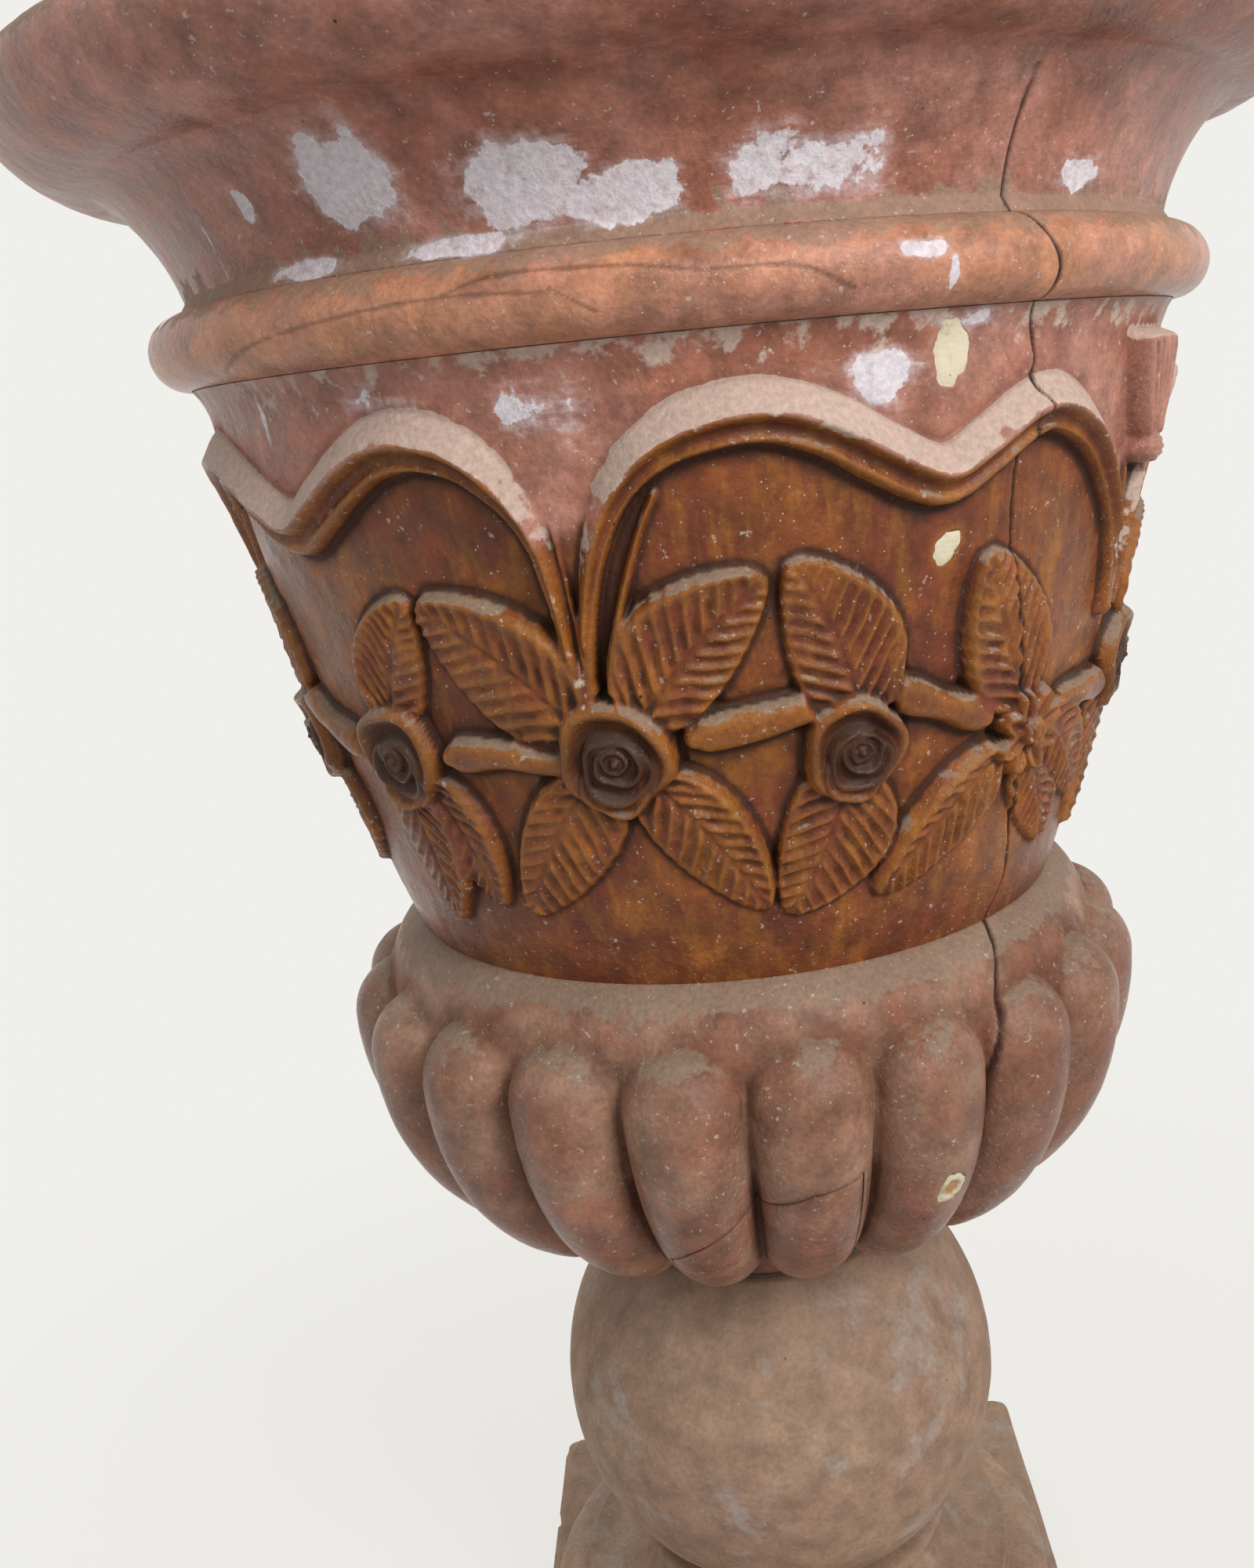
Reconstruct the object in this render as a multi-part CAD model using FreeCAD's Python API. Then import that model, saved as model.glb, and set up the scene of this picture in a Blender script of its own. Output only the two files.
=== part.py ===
"""Carved stone urn planter: a gadrooned bell bowl on a ball stem, a round foot and a square plinth.

Millimetres, +Z up. The origin is on the floor under the middle of the plinth, and the side
with the repaired lobe tips faces -Y. Each stone, ring, tube and repair is its own solid.
"""
import FreeCAD
import Part
import math
import os

# Plinth, foot and stem, from the floor up
PLINTH_SIDE = 520.0
PLINTH_HEIGHT = 75.0
PLINTH_CHAMFER = 8.0
BED_THICKNESS = 4.0
FOOT_HEIGHT = 116.0
FOOT_RADIUS = 222.0
FOOT_TORUS_HEIGHT = 52.0
FOOT_TORUS_BULGE = 22.0
FOOT_FILLET = 16.0
FOOT_NECK_RADIUS = 140.0
FOOT_SCOTIA_DEPTH = 18.0
FOOT_COLLAR_HEIGHT = 14.0
SEAT_THICKNESS = 3.0
SEAT_INSET = 6.0
STEM_HEIGHT = 312.0
STEM_END_RADIUS = 125.0
BALL_RADIUS = 200.0

# Bowl heights, stacked from its seat on the stem up to the rim
BOSS_HEIGHT = 30.0
UNDERBOWL_HEIGHT = 260.0
SHOULDER_HEIGHT = 43.0
WAIST_HEIGHT = 21.0
BODY_HEIGHT = 379.0
COVE_HEIGHT = 32.0
TORUS_HEIGHT = 50.0
NECK_COVE_HEIGHT = 10.0
NECK_HEIGHT = 70.0
LIP_STEP_HEIGHT = 4.0
LIP_HEIGHT = 44.0
RIM_ROLL_HEIGHT = 24.0

# Bowl radii, and how far each moulding stands in or out from its neighbour
BOSS_RADIUS = 118.0
BODY_FOOT_RADIUS = 276.0
BODY_TOP_RADIUS = 364.0
BODY_SWELL = 9.0
WAIST_DEPTH = 8.0
SHOULDER_PROJECTION = 24.0
SHOULDER_SWELL = 6.0
UNDERBOWL_SWELL = 50.0
COVE_PROJECTION = 11.0
COVE_HOLLOW = 3.0
TORUS_PROJECTION = 25.0
NECK_COVE_DEPTH = 6.0
NECK_FLARE = 41.0
NECK_HOLLOW = 6.0
LIP_STEP = 8.0
LIP_PROJECTION = 62.0
LIP_SWELL = 12.0
RIM_ROLL = 8.0
RIM_WIDTH = 52.0

# Ring of gadroon lobes
LOBE_COUNT = 21
FIRST_LOBE_AZIMUTH = -9.8
LOBE_RADIUS = 45.0
LOBE_TOE_RADIUS = 36.0
LOBE_BURY = 10.0
LOBE_TOP_DROP = 38.0
TOE_CIRCLE_RADIUS = 220.0
TOE_RISE = 72.0
LOBE_BOW = 22.0
LOBE_SECTIONS = 5

# Frieze carved on the bell. Places in a motif are degrees to the right of its flower and millimetres
# up from it. A leaf has a base, a tip and a width, and a twig has two ends.
RELIEF_ROOT = 10.0
LEAF_LIFT = 6.0
TWIG_LIFT = 9.0
TWIG_WIDTH = 18.0
ROSE_TIERS = [
    {"radius": 36.0, "drop": 0.0, "lift": 8.0},
    {"radius": 24.0, "drop": 6.0, "lift": 12.0},
    {"radius": 12.0, "drop": 2.0, "lift": 15.0},
]
MAIN_ROSE = {
    "leaves": [((-4.6, 24), (-20.3, 106), 66), ((4.4, 26), (18.1, 108), 62),
               ((-3.6, -16), (-17.1, -122), 56), ((4.1, -20), (16.1, -122), 52)],
    "twig": [(9.2, 11), (29.0, 26)],
}
SIDE_ROSE = {
    "leaves": [((1.4, 24), (-6.9, 126), 66), ((-0.6, -14), (-8.6, -118), 70)],
    "twig": [(5.2, 30), (17.4, 5)],
}
OPEN_ROSE = {
    "leaves": [((-0.5, 24), (-9.5, 130), 70), ((-5.0, -14), (-21.6, -100), 48),
               ((1.5, -24), (11.0, -102), 46), ((6.0, 8), (21.0, -78), 46)],
    "twig": [(7.5, 6), (20.5, 10)],
}
LEFT_ROSE = {
    "leaves": [((0.5, 26), (8.6, 111), 52), ((3.5, -14), (8.3, -116), 48), ((-5.0, -14), (-2.5, -134), 56)],
    "twig": [(9.0, 4), (24.0, 3)],
}

# Motifs round the bell: azimuth and drop under the torus of the flower
MOTIFS = [
    (-42.2, 279, LEFT_ROSE), (-12.0, 277, MAIN_ROSE), (15.3, 287, SIDE_ROSE), (41.1, 302, OPEN_ROSE),
    (69.0, 280, LEFT_ROSE), (99.2, 278, MAIN_ROSE), (126.5, 286, SIDE_ROSE), (152.3, 298, OPEN_ROSE),
    (180.2, 280, LEFT_ROSE), (210.4, 277, MAIN_ROSE), (237.7, 287, SIDE_ROSE), (263.5, 300, OPEN_ROSE),
    (291.0, 282, SIDE_ROSE),
]

# Ribbons that wave from one flower bundle to the next: degrees from the bundle, drop under the torus
# and half height of each upright section
RIBBON_COUNT = 5
FIRST_RIBBON_AZIMUTH = -12.7
RIBBON_LIP = 8.0
RIBBON_RIDGE = 16.0
RIBBON_PATH = [
    (0.9, 222, 12), (3.0, 150, 26), (5.5, 105, 22), (9.5, 84, 18), (15.0, 73, 17), (21.0, 74, 17),
    (26.0, 86, 18), (31.5, 104, 18), (37.2, 118, 17), (43.0, 105, 18), (48.0, 87, 18), (53.0, 75, 17),
    (58.0, 72, 17), (63.0, 84, 18), (66.5, 108, 22), (69.0, 150, 26), (71.1, 222, 12),
]

# Planting hollow and the drain
WALL = 60.0
HOLLOW_FLOOR_THICKNESS = 190.0
HOLLOW_FLOOR_RADIUS = 150.0
HOLLOW_FLOOR_ROUNDING = 22.0
DRAIN_RADIUS = 26.0
TUBE_RADIUS = 32.0
TUBE_WALL = 4.0
TUBE_CLEARANCE = 0.5
TUBE_INSERT = 70.0
PLINTH_SOCKET_FLOOR = 35.0

# Re-glued fragment at the front: the break line rises to the right and ends in an upright break
BREAK_LEFT = 75.0
BREAK_RIGHT = 70.0
BREAK_RISE = 66.0
BREAK_TILT = 24.0
BREAK_DEPTH_RADIUS = 232.0

# Repair fills: azimuth in degrees, height from a named level, width, height of the patch
FILL_DEPTH = 12.0
BAND_FILL = {"azimuth": 25.4, "below_torus": 50.0, "width": 23.0, "height": 41.0}
FRIEZE_FILL = {"azimuth": 26.0, "below_torus": 166.0, "width": 23.0, "height": 19.0}
LOBE_FILL = {"azimuth": 24.5, "below_torus": 620.0, "width": 18.0, "height": 23.0}

# Levels that follow from the stack
FOOT_Z = PLINTH_HEIGHT + BED_THICKNESS
FOOT_TOP_Z = FOOT_Z + FOOT_HEIGHT
STEM_Z = FOOT_TOP_Z + SEAT_THICKNESS
STEM_TOP_Z = STEM_Z + STEM_HEIGHT
BOWL_Z = STEM_TOP_Z + SEAT_THICKNESS
BOSS_Z = BOWL_Z + BOSS_HEIGHT
SHOULDER_Z = BOSS_Z + UNDERBOWL_HEIGHT
WAIST_Z = SHOULDER_Z + SHOULDER_HEIGHT
BODY_FOOT_Z = WAIST_Z + WAIST_HEIGHT
BODY_TOP_Z = BODY_FOOT_Z + BODY_HEIGHT
TORUS_LOW_Z = BODY_TOP_Z + COVE_HEIGHT
TORUS_Z = TORUS_LOW_Z + TORUS_HEIGHT / 2
TORUS_TOP_Z = TORUS_LOW_Z + TORUS_HEIGHT
NECK_Z = TORUS_TOP_Z + NECK_COVE_HEIGHT
NECK_TOP_Z = NECK_Z + NECK_HEIGHT
LIP_Z = NECK_TOP_Z + LIP_STEP_HEIGHT
LIP_TIP_Z = LIP_Z + LIP_HEIGHT
RIM_Z = LIP_TIP_Z + RIM_ROLL_HEIGHT
HOLLOW_FLOOR_Z = BOWL_Z + HOLLOW_FLOOR_THICKNESS

# Radii that follow
WAIST_RADIUS = BODY_FOOT_RADIUS - WAIST_DEPTH
SHOULDER_RADIUS = BODY_FOOT_RADIUS + SHOULDER_PROJECTION
TORUS_BASE_RADIUS = BODY_TOP_RADIUS + COVE_PROJECTION
NECK_RADIUS = TORUS_BASE_RADIUS - NECK_COVE_DEPTH
NECK_TOP_RADIUS = NECK_RADIUS + NECK_FLARE
LIP_RADIUS = NECK_TOP_RADIUS + LIP_STEP
RIM_RADIUS = LIP_RADIUS + LIP_PROJECTION
RIM_TOP_RADIUS = RIM_RADIUS - RIM_ROLL
SOCKET_RADIUS = TUBE_RADIUS + TUBE_CLEARANCE

UP = FreeCAD.Vector(0, 0, 1)
ORIGIN = FreeCAD.Vector(0, 0, 0)


def outline(points):
    """Closed wire in the XZ plane through (radius, height, swell) points.

    The swell is how far the stretch to the next point bows out, to the right of its direction,
    and a straight stretch has none.
    """
    edges = []
    for (r, z, swell), (r_next, z_next, _) in zip(points, points[1:] + points[:1]):
        start = FreeCAD.Vector(r, 0, z)
        end = FreeCAD.Vector(r_next, 0, z_next)
        if swell == 0:
            edges.append(Part.LineSegment(start, end).toShape())
            continue
        along = (end - start).normalize()
        middle = (start + end) * 0.5 + FreeCAD.Vector(along.z, 0, -along.x) * swell
        edges.append(Part.Arc(start, middle, end).toShape())
    return Part.Wire(edges)


def turned(points):
    """Solid of revolution about the urn's axis."""
    return Part.Face(outline(points)).revolve(ORIGIN, UP, 360)


def ring(inner_radius, outer_radius, bottom, height):
    """Flat ring on the urn's axis."""
    base = FreeCAD.Vector(0, 0, bottom)
    return Part.makeCylinder(outer_radius, height, base).cut(Part.makeCylinder(inner_radius, height, base))


def bored(solid, radius, bottom, top):
    """The solid with a round hole along the urn's axis."""
    return solid.cut(Part.makeCylinder(radius, top - bottom, FreeCAD.Vector(0, 0, bottom)))


def make_plinth():
    """Square slab with chamfered upper edges, the drain hole and the socket of the stem tube."""
    corner = FreeCAD.Vector(-PLINTH_SIDE / 2, -PLINTH_SIDE / 2, 0)
    slab = Part.makeBox(PLINTH_SIDE, PLINTH_SIDE, PLINTH_HEIGHT, corner)
    upper_edges = [e for e in slab.Edges if all(v.Z > PLINTH_HEIGHT / 2 for v in e.Vertexes)]
    slab = slab.makeChamfer(PLINTH_CHAMFER, upper_edges)
    slab = bored(slab, DRAIN_RADIUS, 0, PLINTH_SOCKET_FLOOR)
    return bored(slab, SOCKET_RADIUS, PLINTH_SOCKET_FLOOR, PLINTH_HEIGHT)


def make_foot():
    """Round foot: a fat torus, a fillet, a hollow scotia and a collar under the stem."""
    fillet_z = FOOT_Z + FOOT_TORUS_HEIGHT
    scotia_z = fillet_z + FOOT_FILLET
    collar_z = FOOT_TOP_Z - FOOT_COLLAR_HEIGHT
    foot = turned([
        (0, FOOT_Z, 0),
        (FOOT_RADIUS, FOOT_Z, FOOT_TORUS_BULGE),
        (FOOT_RADIUS, fillet_z, 0),
        (FOOT_RADIUS - FOOT_FILLET, fillet_z, 0),
        (FOOT_RADIUS - FOOT_FILLET, scotia_z, -FOOT_SCOTIA_DEPTH),
        (FOOT_NECK_RADIUS, collar_z, FOOT_COLLAR_HEIGHT / 2),
        (FOOT_NECK_RADIUS, FOOT_TOP_Z, 0),
        (0, FOOT_TOP_Z, 0),
    ])
    return bored(foot, SOCKET_RADIUS, FOOT_Z, FOOT_TOP_Z)


def make_stem():
    """Ball stem, flat at both ends, with a drain and a tube socket in each end."""
    stem = turned([
        (0, STEM_Z, 0),
        (STEM_END_RADIUS, STEM_Z, BALL_RADIUS - STEM_END_RADIUS),
        (STEM_END_RADIUS, STEM_TOP_Z, 0),
        (0, STEM_TOP_Z, 0),
    ])
    stem = bored(stem, DRAIN_RADIUS, STEM_Z, STEM_TOP_Z)
    stem = bored(stem, SOCKET_RADIUS, STEM_Z, STEM_Z + TUBE_INSERT + TUBE_CLEARANCE)
    return bored(stem, SOCKET_RADIUS, STEM_TOP_Z - TUBE_INSERT, STEM_TOP_Z)


def make_lobe():
    """One gadroon: a round finger that bows out, tapers to its toe and has domed ends.

    It is built in the XZ plane, on the +X side.
    """
    top = FreeCAD.Vector(SHOULDER_RADIUS - LOBE_BURY, 0, SHOULDER_Z - LOBE_TOP_DROP)
    toe = FreeCAD.Vector(TOE_CIRCLE_RADIUS, 0, BOSS_Z + TOE_RISE)
    along = (toe - top).normalize()
    middle = (top + toe) * 0.5 + FreeCAD.Vector(-along.z, 0, along.x) * LOBE_BOW
    spine = Part.Arc(top, middle, toe)
    sections = []
    for i in range(LOBE_SECTIONS):
        share = i / (LOBE_SECTIONS - 1)
        place = spine.FirstParameter + share * (spine.LastParameter - spine.FirstParameter)
        radius = LOBE_RADIUS + share * (LOBE_TOE_RADIUS - LOBE_RADIUS)
        circle = Part.Circle(spine.value(place), spine.tangent(place)[0], radius)
        sections.append(Part.Wire(circle.toShape()))
    finger = Part.makeLoft(sections, True)
    return finger.multiFuse([Part.makeSphere(LOBE_RADIUS, top), Part.makeSphere(LOBE_TOE_RADIUS, toe)])


def turned_to(shape, azimuth):
    """A copy of a shape built on the +X side, turned to an azimuth counted from -Y towards +X."""
    copy = shape.copy()
    copy.rotate(ORIGIN, UP, azimuth - 90)
    return copy


def bell(lift):
    """The bell of the bowl between waist and torus, grown outwards by a lift."""
    return turned([
        (0, BODY_FOOT_Z, 0),
        (BODY_FOOT_RADIUS + lift, BODY_FOOT_Z, BODY_SWELL),
        (BODY_TOP_RADIUS + lift, BODY_TOP_Z, 0),
        (0, BODY_TOP_Z, 0),
    ])


def bell_radius(z):
    """Radius of the bell at a height, with its shallow arc taken as a parabola."""
    share = (z - BODY_FOOT_Z) / BODY_HEIGHT
    cone_radius = BODY_FOOT_RADIUS + share * (BODY_TOP_RADIUS - BODY_FOOT_RADIUS)
    return cone_radius + 4 * BODY_SWELL * share * (1 - share)


def raised(edges, azimuth, grown_bell):
    """Relief with an outline seen from the front, rooted in the bell and cut off at a grown bell's face."""
    face = Part.Face(Part.Wire(edges))
    box = face.BoundBox
    root = math.sqrt(bell_radius(box.ZMin) ** 2 - max(-box.YMin, box.YMax) ** 2) - RELIEF_ROOT
    face.translate(FreeCAD.Vector(root, 0, 0))
    prism = face.extrude(FreeCAD.Vector(RIM_RADIUS - root, 0, 0))
    return turned_to(prism.common(grown_bell), azimuth)


def facing(place, azimuth):
    """Point at an (azimuth, height) place, as seen from the front of another azimuth."""
    return FreeCAD.Vector(0, math.radians(place[0] - azimuth) * bell_radius(place[1]), place[1])


def make_leaf(base, tip, width, grown_bell):
    """Pointed leaf between two arcs."""
    azimuth = (base[0] + tip[0]) / 2
    start = facing(base, azimuth)
    end = facing(tip, azimuth)
    half = FreeCAD.Vector(0, start.z - end.z, end.y - start.y).normalize() * (width / 2)
    middle = (start + end) * 0.5
    arcs = [Part.Arc(start, middle + half, end), Part.Arc(end, middle - half, start)]
    return raised([arc.toShape() for arc in arcs], azimuth, grown_bell)


def make_twig(start_place, end_place, grown_bell):
    """Bar with round ends between two motifs."""
    azimuth = (start_place[0] + end_place[0]) / 2
    start = facing(start_place, azimuth)
    end = facing(end_place, azimuth)
    along = (end - start).normalize() * (TWIG_WIDTH / 2)
    half = FreeCAD.Vector(0, -along.z, along.y)
    edges = [
        Part.LineSegment(start - half, end - half).toShape(),
        Part.Arc(end - half, end + along, end + half).toShape(),
        Part.LineSegment(end + half, start + half).toShape(),
        Part.Arc(start + half, start - along, start - half).toShape(),
    ]
    return raised(edges, azimuth, grown_bell)


def make_ribbon(azimuth):
    """Ribbon with a ridge along it, through upright sections from one bundle to the next."""
    sections = []
    for turn, drop, half_height in RIBBON_PATH:
        z = TORUS_Z - drop
        face = bell_radius(z)
        section = [
            FreeCAD.Vector(face - RELIEF_ROOT, 0, z - half_height),
            FreeCAD.Vector(face + RIBBON_LIP, 0, z - half_height),
            FreeCAD.Vector(face + RIBBON_RIDGE, 0, z),
            FreeCAD.Vector(face + RIBBON_LIP, 0, z + half_height),
            FreeCAD.Vector(face - RELIEF_ROOT, 0, z + half_height),
        ]
        sections.append(turned_to(Part.makePolygon(section + section[:1]), azimuth + turn))
    return Part.makeLoft(sections, True, True)


def make_frieze():
    """The relief on the bell: leaves, twigs, stepped roses and ribbons."""
    leaf_bell = bell(LEAF_LIFT)
    twig_bell = bell(TWIG_LIFT)
    tiers = [(tier, bell(tier["lift"])) for tier in ROSE_TIERS]
    reliefs = []
    for azimuth, drop, motif in MOTIFS:
        flower_z = TORUS_Z - drop
        for base, tip, width in motif["leaves"]:
            ends = [(azimuth + a, flower_z + z) for a, z in (base, tip)]
            reliefs.append(make_leaf(*ends, width, leaf_bell))
        reliefs.append(make_twig(*[(azimuth + a, flower_z + z) for a, z in motif["twig"]], twig_bell))
        for tier, grown_bell in tiers:
            centre = FreeCAD.Vector(0, 0, flower_z - tier["drop"])
            circle = Part.Circle(centre, FreeCAD.Vector(1, 0, 0), tier["radius"])
            reliefs.append(raised([circle.toShape()], azimuth, grown_bell))
    step = 360 / RIBBON_COUNT
    reliefs += [make_ribbon(FIRST_RIBBON_AZIMUTH + i * step) for i in range(RIBBON_COUNT)]
    return reliefs


def make_bowl_block():
    """The whole carved block, before breaks and repairs: turned mouldings, lobes, frieze, hollow and drain."""
    block = turned([
        (0, BOWL_Z, 0),
        (BOSS_RADIUS, BOWL_Z, 0),
        (BOSS_RADIUS, BOSS_Z, UNDERBOWL_SWELL),
        (SHOULDER_RADIUS, SHOULDER_Z, SHOULDER_SWELL),
        (WAIST_RADIUS, WAIST_Z, 0),
        (BODY_FOOT_RADIUS, BODY_FOOT_Z, BODY_SWELL),
        (BODY_TOP_RADIUS, BODY_TOP_Z, -COVE_HOLLOW),
        (TORUS_BASE_RADIUS, TORUS_LOW_Z, TORUS_PROJECTION),
        (TORUS_BASE_RADIUS, TORUS_TOP_Z, 0),
        (NECK_RADIUS, NECK_Z, -NECK_HOLLOW),
        (NECK_TOP_RADIUS, NECK_TOP_Z, 0),
        (LIP_RADIUS, LIP_Z, LIP_SWELL),
        (RIM_RADIUS, LIP_TIP_Z, RIM_ROLL / 2),
        (RIM_TOP_RADIUS, RIM_Z, 0),
        (0, RIM_Z, 0),
    ])
    lobe = make_lobe()
    step = 360 / LOBE_COUNT
    lobes = [turned_to(lobe, FIRST_LOBE_AZIMUTH + i * step) for i in range(LOBE_COUNT)]
    block = block.multiFuse(lobes + make_frieze())
    hollow = turned([
        (0, HOLLOW_FLOOR_Z, 0),
        (HOLLOW_FLOOR_RADIUS, HOLLOW_FLOOR_Z, HOLLOW_FLOOR_ROUNDING),
        (BODY_FOOT_RADIUS - WALL, BODY_FOOT_Z, BODY_SWELL),
        (BODY_TOP_RADIUS - WALL, BODY_TOP_Z, 0),
        (NECK_RADIUS - WALL, NECK_Z, -NECK_HOLLOW),
        (RIM_TOP_RADIUS - RIM_WIDTH, RIM_Z, 0),
        (0, RIM_Z, 0),
    ])
    block = bored(block.cut(hollow), DRAIN_RADIUS, BOWL_Z, HOLLOW_FLOOR_Z)
    return bored(block, SOCKET_RADIUS, BOWL_Z, BOWL_Z + TUBE_INSERT + TUBE_CLEARANCE)


def break_wedge():
    """Space of the re-glued fragment: under the tilted break line, left of the upright break."""
    middle_z = BOSS_Z + TOE_RISE + BREAK_RISE
    slope = math.tan(math.radians(BREAK_TILT))
    corners = [
        (-BREAK_LEFT, middle_z - slope * BREAK_LEFT),
        (BREAK_RIGHT, middle_z + slope * BREAK_RIGHT),
        (BREAK_RIGHT, BOSS_Z),
        (-BREAK_LEFT, BOSS_Z),
    ]
    front = -(SHOULDER_RADIUS + LOBE_RADIUS)
    points = [FreeCAD.Vector(x, front, z) for x, z in corners]
    face = Part.Face(Part.makePolygon(points + points[:1]))
    return face.extrude(FreeCAD.Vector(0, -front - BREAK_DEPTH_RADIUS, 0))


def fill_plug(block, fill):
    """Oval plug through the bowl's outer surface, as deep as a repair fill."""
    height = TORUS_Z - fill["below_torus"]
    reach = RIM_RADIUS
    probe = Part.makeLine(FreeCAD.Vector(0, 0, height), FreeCAD.Vector(reach, 0, height))
    surface = max(v.X for v in turned_to(block, 180 - fill["azimuth"]).common(probe).Vertexes)
    centre = FreeCAD.Vector(surface - FILL_DEPTH, 0, height)
    half_sizes = sorted([fill["width"] / 2, fill["height"] / 2], reverse=True)
    oval = Part.Ellipse(centre, *half_sizes)
    oval.Axis = FreeCAD.Vector(1, 0, 0)
    oval.XAxis = UP if fill["height"] > fill["width"] else FreeCAD.Vector(0, 1, 0)
    plug = Part.Face(Part.Wire(oval.toShape())).extrude(FreeCAD.Vector(reach - centre.x, 0, 0))
    return turned_to(plug, fill["azimuth"])


def make_bowl():
    """The bowl with its fragment and fills, as separate solids that share their break faces."""
    block = make_bowl_block()
    cutters = {
        "lobe_fragment": break_wedge(),
        "fill_band": fill_plug(block, BAND_FILL),
        "fill_frieze": fill_plug(block, FRIEZE_FILL),
        "fill_lobe": fill_plug(block, LOBE_FILL),
    }
    pieces = {name: block.common(cutter) for name, cutter in cutters.items()}
    for cutter in cutters.values():
        block = block.cut(cutter)
    pieces["bowl"] = block
    return pieces


def make_all():
    """Every piece of the urn by its node name."""
    seat_inner = SOCKET_RADIUS
    seat_outer = STEM_END_RADIUS - SEAT_INSET
    tube_inner = TUBE_RADIUS - TUBE_WALL
    bowl_tube_z = STEM_TOP_Z - TUBE_INSERT
    bowl_tube_length = 2 * TUBE_INSERT + SEAT_THICKNESS
    stem_tube_length = STEM_Z + TUBE_INSERT - PLINTH_SOCKET_FLOOR
    pieces = {
        "plinth": make_plinth(),
        "foot_bed": ring(SOCKET_RADIUS, FOOT_RADIUS - SEAT_INSET, PLINTH_HEIGHT, BED_THICKNESS),
        "foot": make_foot(),
        "stem_tube": ring(tube_inner, TUBE_RADIUS, PLINTH_SOCKET_FLOOR, stem_tube_length),
        "stem_seat": ring(seat_inner, seat_outer, FOOT_TOP_Z, SEAT_THICKNESS),
        "stem": make_stem(),
        "bowl_tube": ring(tube_inner, TUBE_RADIUS, bowl_tube_z, bowl_tube_length),
        "bowl_seat": ring(seat_inner, seat_outer, STEM_TOP_Z, SEAT_THICKNESS),
    }
    pieces.update(make_bowl())
    return pieces


os.makedirs("parts", exist_ok=True)
for node, shape in make_all().items():
    print(node, "solids", len(shape.Solids), "valid", shape.isValid(), "litres", round(shape.Volume / 1e6, 3))
    shape.exportStep(f"parts/{node}.step")
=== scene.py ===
"""Carved red marble urn planter: visual pieces, materials, floor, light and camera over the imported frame.

Shapes are worked out in millimetres and become metres when a mesh is made. Azimuths are degrees
from -Y, the photographed side, towards +X. Heights on the bowl are counted from the middle of its torus.
"""
import math

import bpy
import numpy as np
from mathutils import Matrix, Vector


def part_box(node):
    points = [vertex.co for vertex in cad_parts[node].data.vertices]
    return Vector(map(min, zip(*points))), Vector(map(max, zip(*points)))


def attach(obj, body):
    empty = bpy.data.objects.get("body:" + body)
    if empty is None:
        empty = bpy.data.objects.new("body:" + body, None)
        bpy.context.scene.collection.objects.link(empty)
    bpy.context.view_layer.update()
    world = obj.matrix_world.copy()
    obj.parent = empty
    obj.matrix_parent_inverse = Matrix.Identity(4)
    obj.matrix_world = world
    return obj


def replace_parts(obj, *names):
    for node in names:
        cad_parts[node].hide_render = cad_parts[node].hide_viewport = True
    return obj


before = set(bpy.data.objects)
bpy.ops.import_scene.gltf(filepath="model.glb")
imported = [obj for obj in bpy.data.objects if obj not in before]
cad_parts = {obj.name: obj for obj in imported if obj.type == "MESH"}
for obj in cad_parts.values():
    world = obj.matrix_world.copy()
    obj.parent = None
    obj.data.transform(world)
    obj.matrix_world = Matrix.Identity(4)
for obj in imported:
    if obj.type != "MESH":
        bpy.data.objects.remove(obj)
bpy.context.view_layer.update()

MM = 0.001


def level(node, end):
    """Lowest (0) or highest (1) level of a CAD node, in millimetres."""
    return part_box(node)[end].z / MM


# Bowl outline: corners as radius and height from the torus
RIM_TOP = 177.0
TORUS_Z = level("bowl", 1) - RIM_TOP
SEAT = level("bowl", 0) - TORUS_Z
HOLLOW_FLOOR = SEAT + 190.0
HOLLOW_FLOOR_RADIUS = 150.0
BOSS = (118.0, SEAT + 30.0)
SHOULDER = (300.0, -500.0)
WAIST = (268.0, -457.0)
BODY_FOOT = (276.0, -436.0)
BODY_TOP = (364.0, -57.0)
TORUS_LOW = (375.0, -25.0)
TORUS_TOP = (375.0, 25.0)
NECK = (369.0, 35.0)
NECK_TOP = (410.0, 105.0)
LIP = (418.0, 109.0)
LIP_TIP = (480.0, 153.0)
RIM_OUTER = (472.0, RIM_TOP)
RIM_INNER = (420.0, RIM_TOP)
INSIDE_NECK = (309.0, 35.0)
INSIDE_TOP = (308.5, 25.0)
INSIDE_LOW = (306.0, -25.0)
INSIDE_WAIST = (208.0, -457.0)

# How far the stretches of that outline bow out
UNDERBOWL_SWELL = 50.0
SHOULDER_SWELL = 6.0
BODY_SWELL = 9.0
COVE_SWELL = -3.0
TORUS_SWELL = 25.0
NECK_SWELL = -6.0
LIP_SWELL = 12.0
RIM_SWELL = 4.0
HOLLOW_SWELL = -20.0

# Tube sockets and drain, shared by the stones
SOCKET_RADIUS = 32.5
SOCKET_DEPTH = 70.5
DRAIN_RADIUS = 26.0

# Gadroon lobes: fingers round the underside, swept along a bowed spine
LOBE_COUNT = 21
FIRST_LOBE = -9.8
LOBE_TOP = (290.0, -538.0)
LOBE_TOE = (220.0, -688.0)
LOBE_BOW = 22.0
LOBE_RADIUS = 45.0
TOE_RADIUS = 36.0
LOBE_FILLET = 5.0
LOBE_HEART = (120.0, -570.0)

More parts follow.
